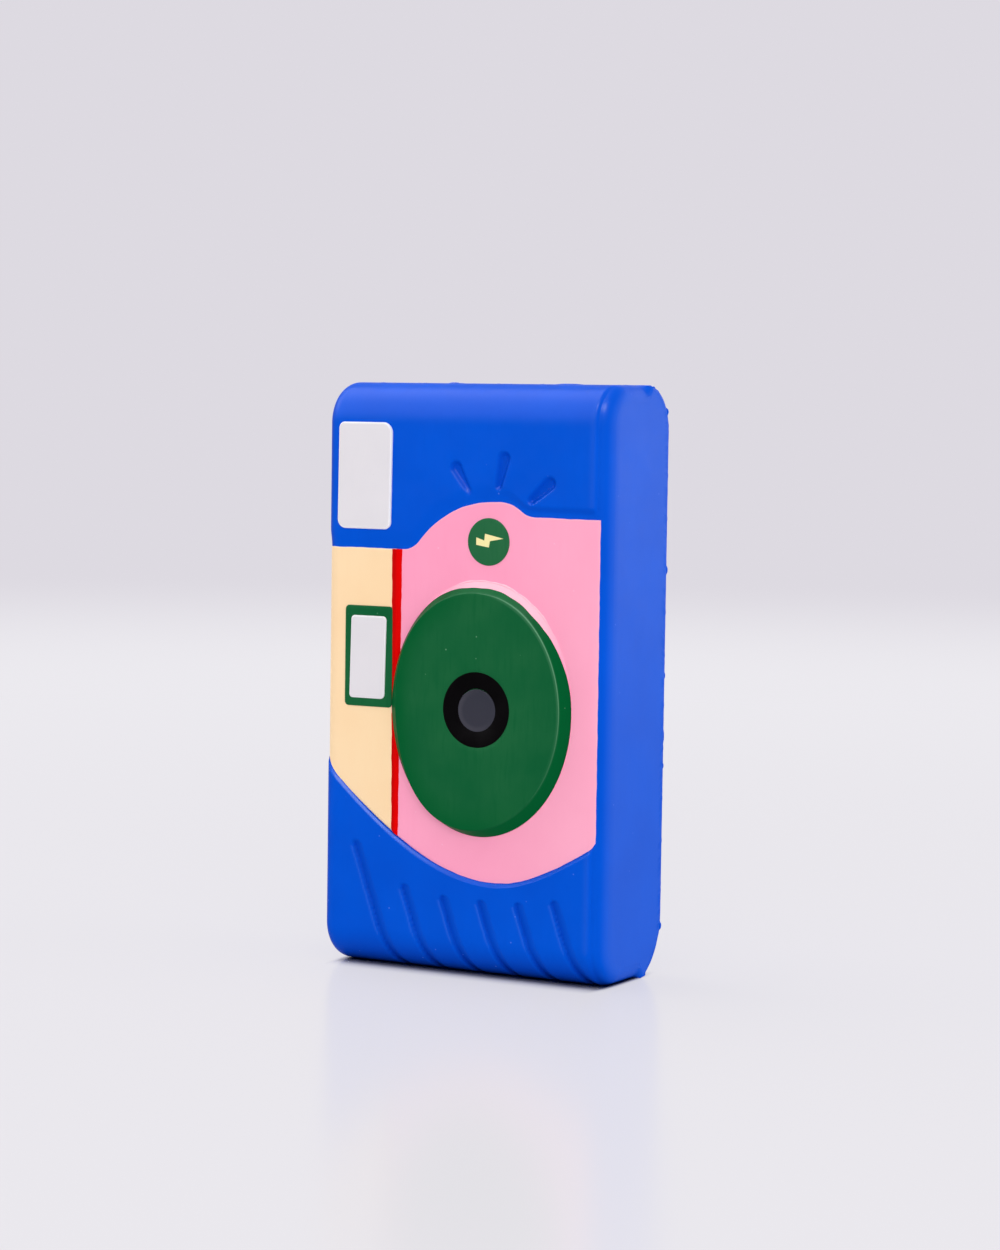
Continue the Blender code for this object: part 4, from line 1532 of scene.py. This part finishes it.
    def ring(self) -> bpy.types.Object:
        """The ring: a shallow dish from the mount's face in to the pupil's edge.

        Returns:
            The piece.
        """
        share = np.linspace(0.0, 1.0, 9)
        outer, inner = self.ring_radius, self.pupil_radius
        radii = np.concatenate([[inner, outer], outer - (outer - inner) * share])
        dish = (self.dish + self.ring_proud) * share ** self.dish_power - self.ring_proud
        depth = np.concatenate([[self.ring_root, self.ring_root], dish]) + self.face
        loops = oval_loft(self.ring_centre, radii, radii, depth, self.ring_points)
        shell = Shell()
        shell.grid(np.concatenate([loops, loops[:1]]), closed=True)
        return shell.piece("lens_ring")

    def pupil(self) -> bpy.types.Object:
        """The pupil: a flat disc with a rounded rim at the bottom of the dish, with painted light that makes
        it paler at its left.

        Returns:
            The piece.
        """
        turn = np.linspace(0.0, QUARTER, 5)
        rim, level = self.pupil_rim, self.dish - self.pupil_up
        flat, flat_light = np.array(self.pupil_flat).T
        flat = self.pupil_radius * flat
        edge = self.pupil_radius - rim * (1.0 - np.cos(turn))
        radii = np.concatenate([[0.0, self.pupil_radius], edge, flat])
        depth = np.concatenate([[self.pupil_root, self.pupil_root], level - rim * np.sin(turn) + rim,
                                np.full_like(flat, level)]) + self.face
        # Painted light: paler on the rim and the outer flat towards the left.
        middle, swing = self.pupil_light_span
        painted_light = ease(middle - swing * np.cos(around(self.pupil_points) - self.pupil_light_turn))
        pool = np.concatenate([np.zeros(2), np.full_like(turn, self.pupil_rim_light), flat_light])
        loops = oval_loft(self.pupil_centre, radii, radii, depth, self.pupil_points)
        shell = Shell()
        shell.grid(loops, closed=True, pool=pool[:, None] * painted_light)
        return shell.piece("lens_pupil")


@dataclass(frozen=True)
class SoftLamp:
    """A square lamp: where it hangs, the length of its sides, its watts, and whether it gives only sheen."""

    name: str
    place: Place
    size: float
    power: float
    sheen: bool


@dataclass
class Studio:
    """Pale floor, pale surroundings, soft lamps and the camera."""

    camera_place: Place = (0.290126, -0.514770, 0.104352)
    azimuth: float = math.radians(29.30)
    pitch: float = math.radians(3.94)
    roll: float = math.radians(0.81)
    focal_pixels: float = 3211.0
    image_height: float = 1250.0
    sensor: float = 36.0
    clip: Pair = (0.01, 20.0)
    floor_radius: float = 1.35
    floor_points: int = 96
    floor_rings: int = 24
    floor_spacing: float = 1.5
    floor_colour: Colour = (0.72, 0.705, 0.74)
    floor_far: Colour = (0.835, 0.82, 0.86)
    floor_roughness: float = 0.20
    floor_specular: float = 1.0
    floor_even: Pair = (0.16, 0.55)
    floor_clear: float = 0.62
    surround: Colour = (0.725, 0.700, 0.755)
    surround_light: float = 0.72
    lamps_at: Place = (0.0, 0.0, 54.0 * MM)
    lamps: tuple[SoftLamp, ...] = (
        SoftLamp("front_lamp", (0.70, -1.15, 0.45), 1.20, 7.30, sheen=False),
        SoftLamp("edge_lamp", (0.42, -0.97, 1.45), 0.42, 130.0, sheen=True),
        SoftLamp("top_lamp", (-0.60, 0.10, 1.10), 1.00, 6.0, sheen=False),
        SoftLamp("top_sheen", (-0.62, -0.40, 1.05), 1.80, 140.0, sheen=True),
        SoftLamp("side_lamp", (1.00, 0.22, 0.50), 0.70, 2.2, sheen=False),
        SoftLamp("side_sheen", (1.20, 2.10, 0.60), 2.40, 51.0, sheen=True),
    )
    stand_half: Pair = (26.95 * MM, 3.5 * MM)
    stand_middle: Pair = (0.45 * MM, -1.0 * MM)
    stand_squeeze: float = 5.0
    contact_shadow_colour: Colour = (0.006, 0.010, 0.035)
    contact_shadow_span: Pair = (2.2 * MM, 7.2 * MM)
    contact_even: Pair = (4.0 * MM, 11.0 * MM)
    even_share: float = 0.70

    def build(self, toy: bpy.types.Collection) -> None:
        """Makes the camera, the floor, the surroundings and the lamps.

        Args:
            toy: Pieces that the sheen lamps shine on.
        """
        scene = bpy.context.scene
        scene.view_settings.view_transform = "Standard"
        self.camera(scene)
        self.floor()
        self.world(scene)
        for lamp in self.lamps:
            self.hang(lamp, toy)

    @staticmethod
    def stand(made: bpy.types.Object, right: Array, up: Array, back: Array, place: Place) -> None:
        """Places an object by its three axes and links it to the scene.

        Args:
            made: Camera or lamp.
            right: Its x axis.
            up: Its y axis.
            back: Its z axis, opposite to where it looks.
            place: Where it stands.
        """
        matrix = np.eye(4)
        matrix[:3] = np.stack([right, up, back, place], axis=1)
        made.matrix_world = matrix.T.tolist()
        bpy.context.scene.collection.objects.link(made)

    def camera(self, scene: bpy.types.Scene) -> None:
        """Sets the camera at the photograph's place, turned by azimuth, pitch and roll.

        Args:
            scene: The scene.
        """
        data = bpy.data.cameras.new("photo_camera")
        data.sensor_fit = "VERTICAL"
        data.sensor_height = data.sensor_width = self.sensor
        data.lens = self.focal_pixels * self.sensor / self.image_height
        data.clip_start, data.clip_end = self.clip
        right = np.array([math.cos(self.azimuth), math.sin(self.azimuth), 0.0])
        level = np.array([-math.sin(self.azimuth), math.cos(self.azimuth), 0.0])
        ahead = math.cos(self.pitch) * level - math.sin(self.pitch) * np.array([0.0, 0.0, 1.0])
        up = np.cross(right, ahead)
        cos, sin = math.cos(self.roll), math.sin(self.roll)
        made = bpy.data.objects.new("photo_camera", data)
        self.stand(made, cos * right + sin * up, cos * up - sin * right, -ahead, self.camera_place)
        scene.camera = made

    def floor(self) -> None:
        """Makes a pale glossy floor: a disc of polar rings whose finish fades into the surroundings."""
        turn = around(self.floor_points)
        radius = np.linspace(0.0, 1.0, self.floor_rings)[:, None] ** self.floor_spacing * self.floor_radius
        x, y = radius * np.cos(turn), radius * np.sin(turn)
        shell = Shell()
        shell.grid(np.stack([x, y, np.zeros_like(x)], axis=-1), closed=True)
        floor = shell.piece("studio_floor")
        floor.data.materials.append(self.floor_finish())

    def floor_finish(self) -> bpy.types.Material:
        """Satin pale floor with a painted contact shadow at the toy's foot, even further out and see-through
        towards its rim.

        Returns:
            The material.
        """
        made = bpy.data.materials.new("studio_floor")
        made.use_nodes = True
        made.cycles.emission_sampling = "NONE"
        tree = made.node_tree
        paint = tree.nodes["Principled BSDF"]
        paint.inputs["Roughness"].default_value = self.floor_roughness
        paint.inputs["Specular IOR Level"].default_value = self.floor_specular
        even = tree.nodes.new("ShaderNodeEmission")
        even.inputs["Color"].default_value = (*self.floor_far, 1.0)
        clear = tree.nodes.new("ShaderNodeBsdfTransparent")
        place = tree.nodes.new("ShaderNodeTexCoord").outputs["Object"]
        far = self.vector_math(tree, "LENGTH", place)
        gap = self.gap(tree, place)
        # Painted contact shadow: the floor's colour goes dark within a few millimetres of the toy's
        # footprint.
        shadow_share = SatinPaint.spread(tree, gap, self.contact_shadow_span)
        shadowed_floor = SatinPaint.mix(tree, shadow_share, self.contact_shadow_colour, self.floor_colour)
        tree.links.new(shadowed_floor, paint.inputs["Base Color"])
        lit = self.fade(tree, gap, self.contact_even, paint.outputs[0], even.outputs[0], self.even_share)
        ground = self.fade(tree, far, self.floor_even, lit, even.outputs[0])
        whole = self.fade(tree, far, (self.floor_clear, self.floor_radius), ground, clear.outputs[0])
        tree.links.new(whole, tree.nodes["Material Output"].inputs["Surface"])
        return made

    def gap(self, tree: Tree, place: Socket) -> Socket:
        """Distance on the floor from the toy's footprint: the length of the gaps across and in depth.

        Gaps across are stretched, so that the zone round the footprint is narrow at its two ends.

        Args:
            tree: Material's node tree.
            place: Object coordinates.

        Returns:
            The distance.
        """
        squeeze = self.stand_squeeze
        moved = tree.nodes.new("ShaderNodeMapping")
        moved.inputs["Location"].default_value = (-squeeze * self.stand_middle[0], -self.stand_middle[1], 0.0)
        moved.inputs["Scale"].default_value = (squeeze, 1.0, 1.0)
        tree.links.new(place, moved.inputs["Vector"])
        size = self.vector_math(tree, "ABSOLUTE", moved.outputs["Vector"])
        half = (squeeze * self.stand_half[0], self.stand_half[1], 0.0)
        past = self.vector_math(tree, "SUBTRACT", size, half)
        return self.vector_math(tree, "LENGTH", self.vector_math(tree, "MAXIMUM", past))

    @staticmethod
    def vector_math(tree: Tree, operation: str, value: Socket, other: Place = (0.0, 0.0, 0.0)) -> Socket:
        """Adds a step of vector arithmetic.

        Args:
            tree: Material's node tree.
            operation: Name of the operation.
            value: First vector.
            other: Second vector, where the operation has one.

        Returns:
            The result.
        """
        made = tree.nodes.new("ShaderNodeVectorMath")
        made.operation = operation
        made.inputs[1].default_value = other
        tree.links.new(value, made.inputs[0])
        return made.outputs["Value" if operation == "LENGTH" else "Vector"]

    @staticmethod
    def fade(tree: Tree, far: Socket, span: Pair, near_shader: Socket, far_shader: Socket,
             most: float = 1.0) -> Socket:
        """Mixes two shaders by distance, smoothly along a span.

        Args:
            tree: Material's node tree.
            far: Distance.
            span: Distances up to which only the near shader shows, and from which the far one shows most.
            near_shader: Shader up to the span.
            far_shader: Shader beyond the span.
            most: Share of the far shader beyond the span.

        Returns:
            The mixed shader.
        """
        mix = tree.nodes.new("ShaderNodeMixShader")
        tree.links.new(SatinPaint.spread(tree, far, span, (0.0, most), soft=True), mix.inputs[0])
        tree.links.new(near_shader, mix.inputs[1])
        tree.links.new(far_shader, mix.inputs[2])
        return mix.outputs[0]

    def world(self, scene: bpy.types.Scene) -> None:
        """Pale surroundings for the camera and for reflections, and softer light for the rest.

        Args:
            scene: The scene.
        """
        made = bpy.data.worlds.new("studio")
        made.use_nodes = True
        scene.world = made
        tree = made.node_tree
        shown = tree.nodes["Background"]
        shown.inputs["Color"].default_value = (*self.surround, 1.0)
        light = tree.nodes.new("ShaderNodeBackground")
        light.inputs["Color"].default_value = (1.0, 1.0, 1.0, 1.0)
        light.inputs["Strength"].default_value = self.surround_light
        path = tree.nodes.new("ShaderNodeLightPath")
        seen = path.outputs["Is Camera Ray"]
        for other in ("Is Glossy Ray", "Is Transmission Ray"):
            most = tree.nodes.new("ShaderNodeMath")
            most.operation = "MAXIMUM"
            tree.links.new(seen, most.inputs[0])
            tree.links.new(path.outputs[other], most.inputs[1])
            seen = most.outputs[0]
        mix = tree.nodes.new("ShaderNodeMixShader")
        tree.links.new(seen, mix.inputs[0])
        tree.links.new(light.outputs[0], mix.inputs[1])
        tree.links.new(shown.outputs[0], mix.inputs[2])
        tree.links.new(mix.outputs[0], tree.nodes["World Output"].inputs["Surface"])

    def hang(self, lamp: SoftLamp, toy: bpy.types.Collection) -> None:
        """Hangs a lamp that looks at the middle of the toy: for the sheen on the toy alone, or for the light.

        Args:
            lamp: The lamp.
            toy: The toy's pieces.
        """
        data = bpy.data.lights.new(lamp.name, "AREA")
        data.size, data.energy = lamp.size, lamp.power
        made = bpy.data.objects.new(lamp.name, data)
        back = np.array(lamp.place) - np.array(self.lamps_at)
        back /= np.linalg.norm(back)
        side = np.cross([0.0, 0.0, 1.0], back)
        side /= np.linalg.norm(side)
        self.stand(made, side, np.cross(back, side), back, lamp.place)
        made.visible_camera = False
        made.visible_diffuse = not lamp.sheen
        made.visible_glossy = lamp.sheen
        if lamp.sheen:
            made.light_linking.receiver_collection = toy


def main() -> None:
    """Builds the studio and the toy's sub-assemblies in order."""
    logging.basicConfig(level=logging.INFO, format="%(name)s %(message)s")
    toy = bpy.data.collections.new("toy_pieces")
    Studio().build(toy)
    paint = Paintbox(toy)
    relief = Relief(Block())
    FoamBody(relief).build(paint)
    ColourCoats(relief).build(paint)
    FrontWindows(relief).build(paint)
    FlashBadge(relief).build(paint)
    Lens(relief).build(paint)


if __name__ == "__main__":
    main()
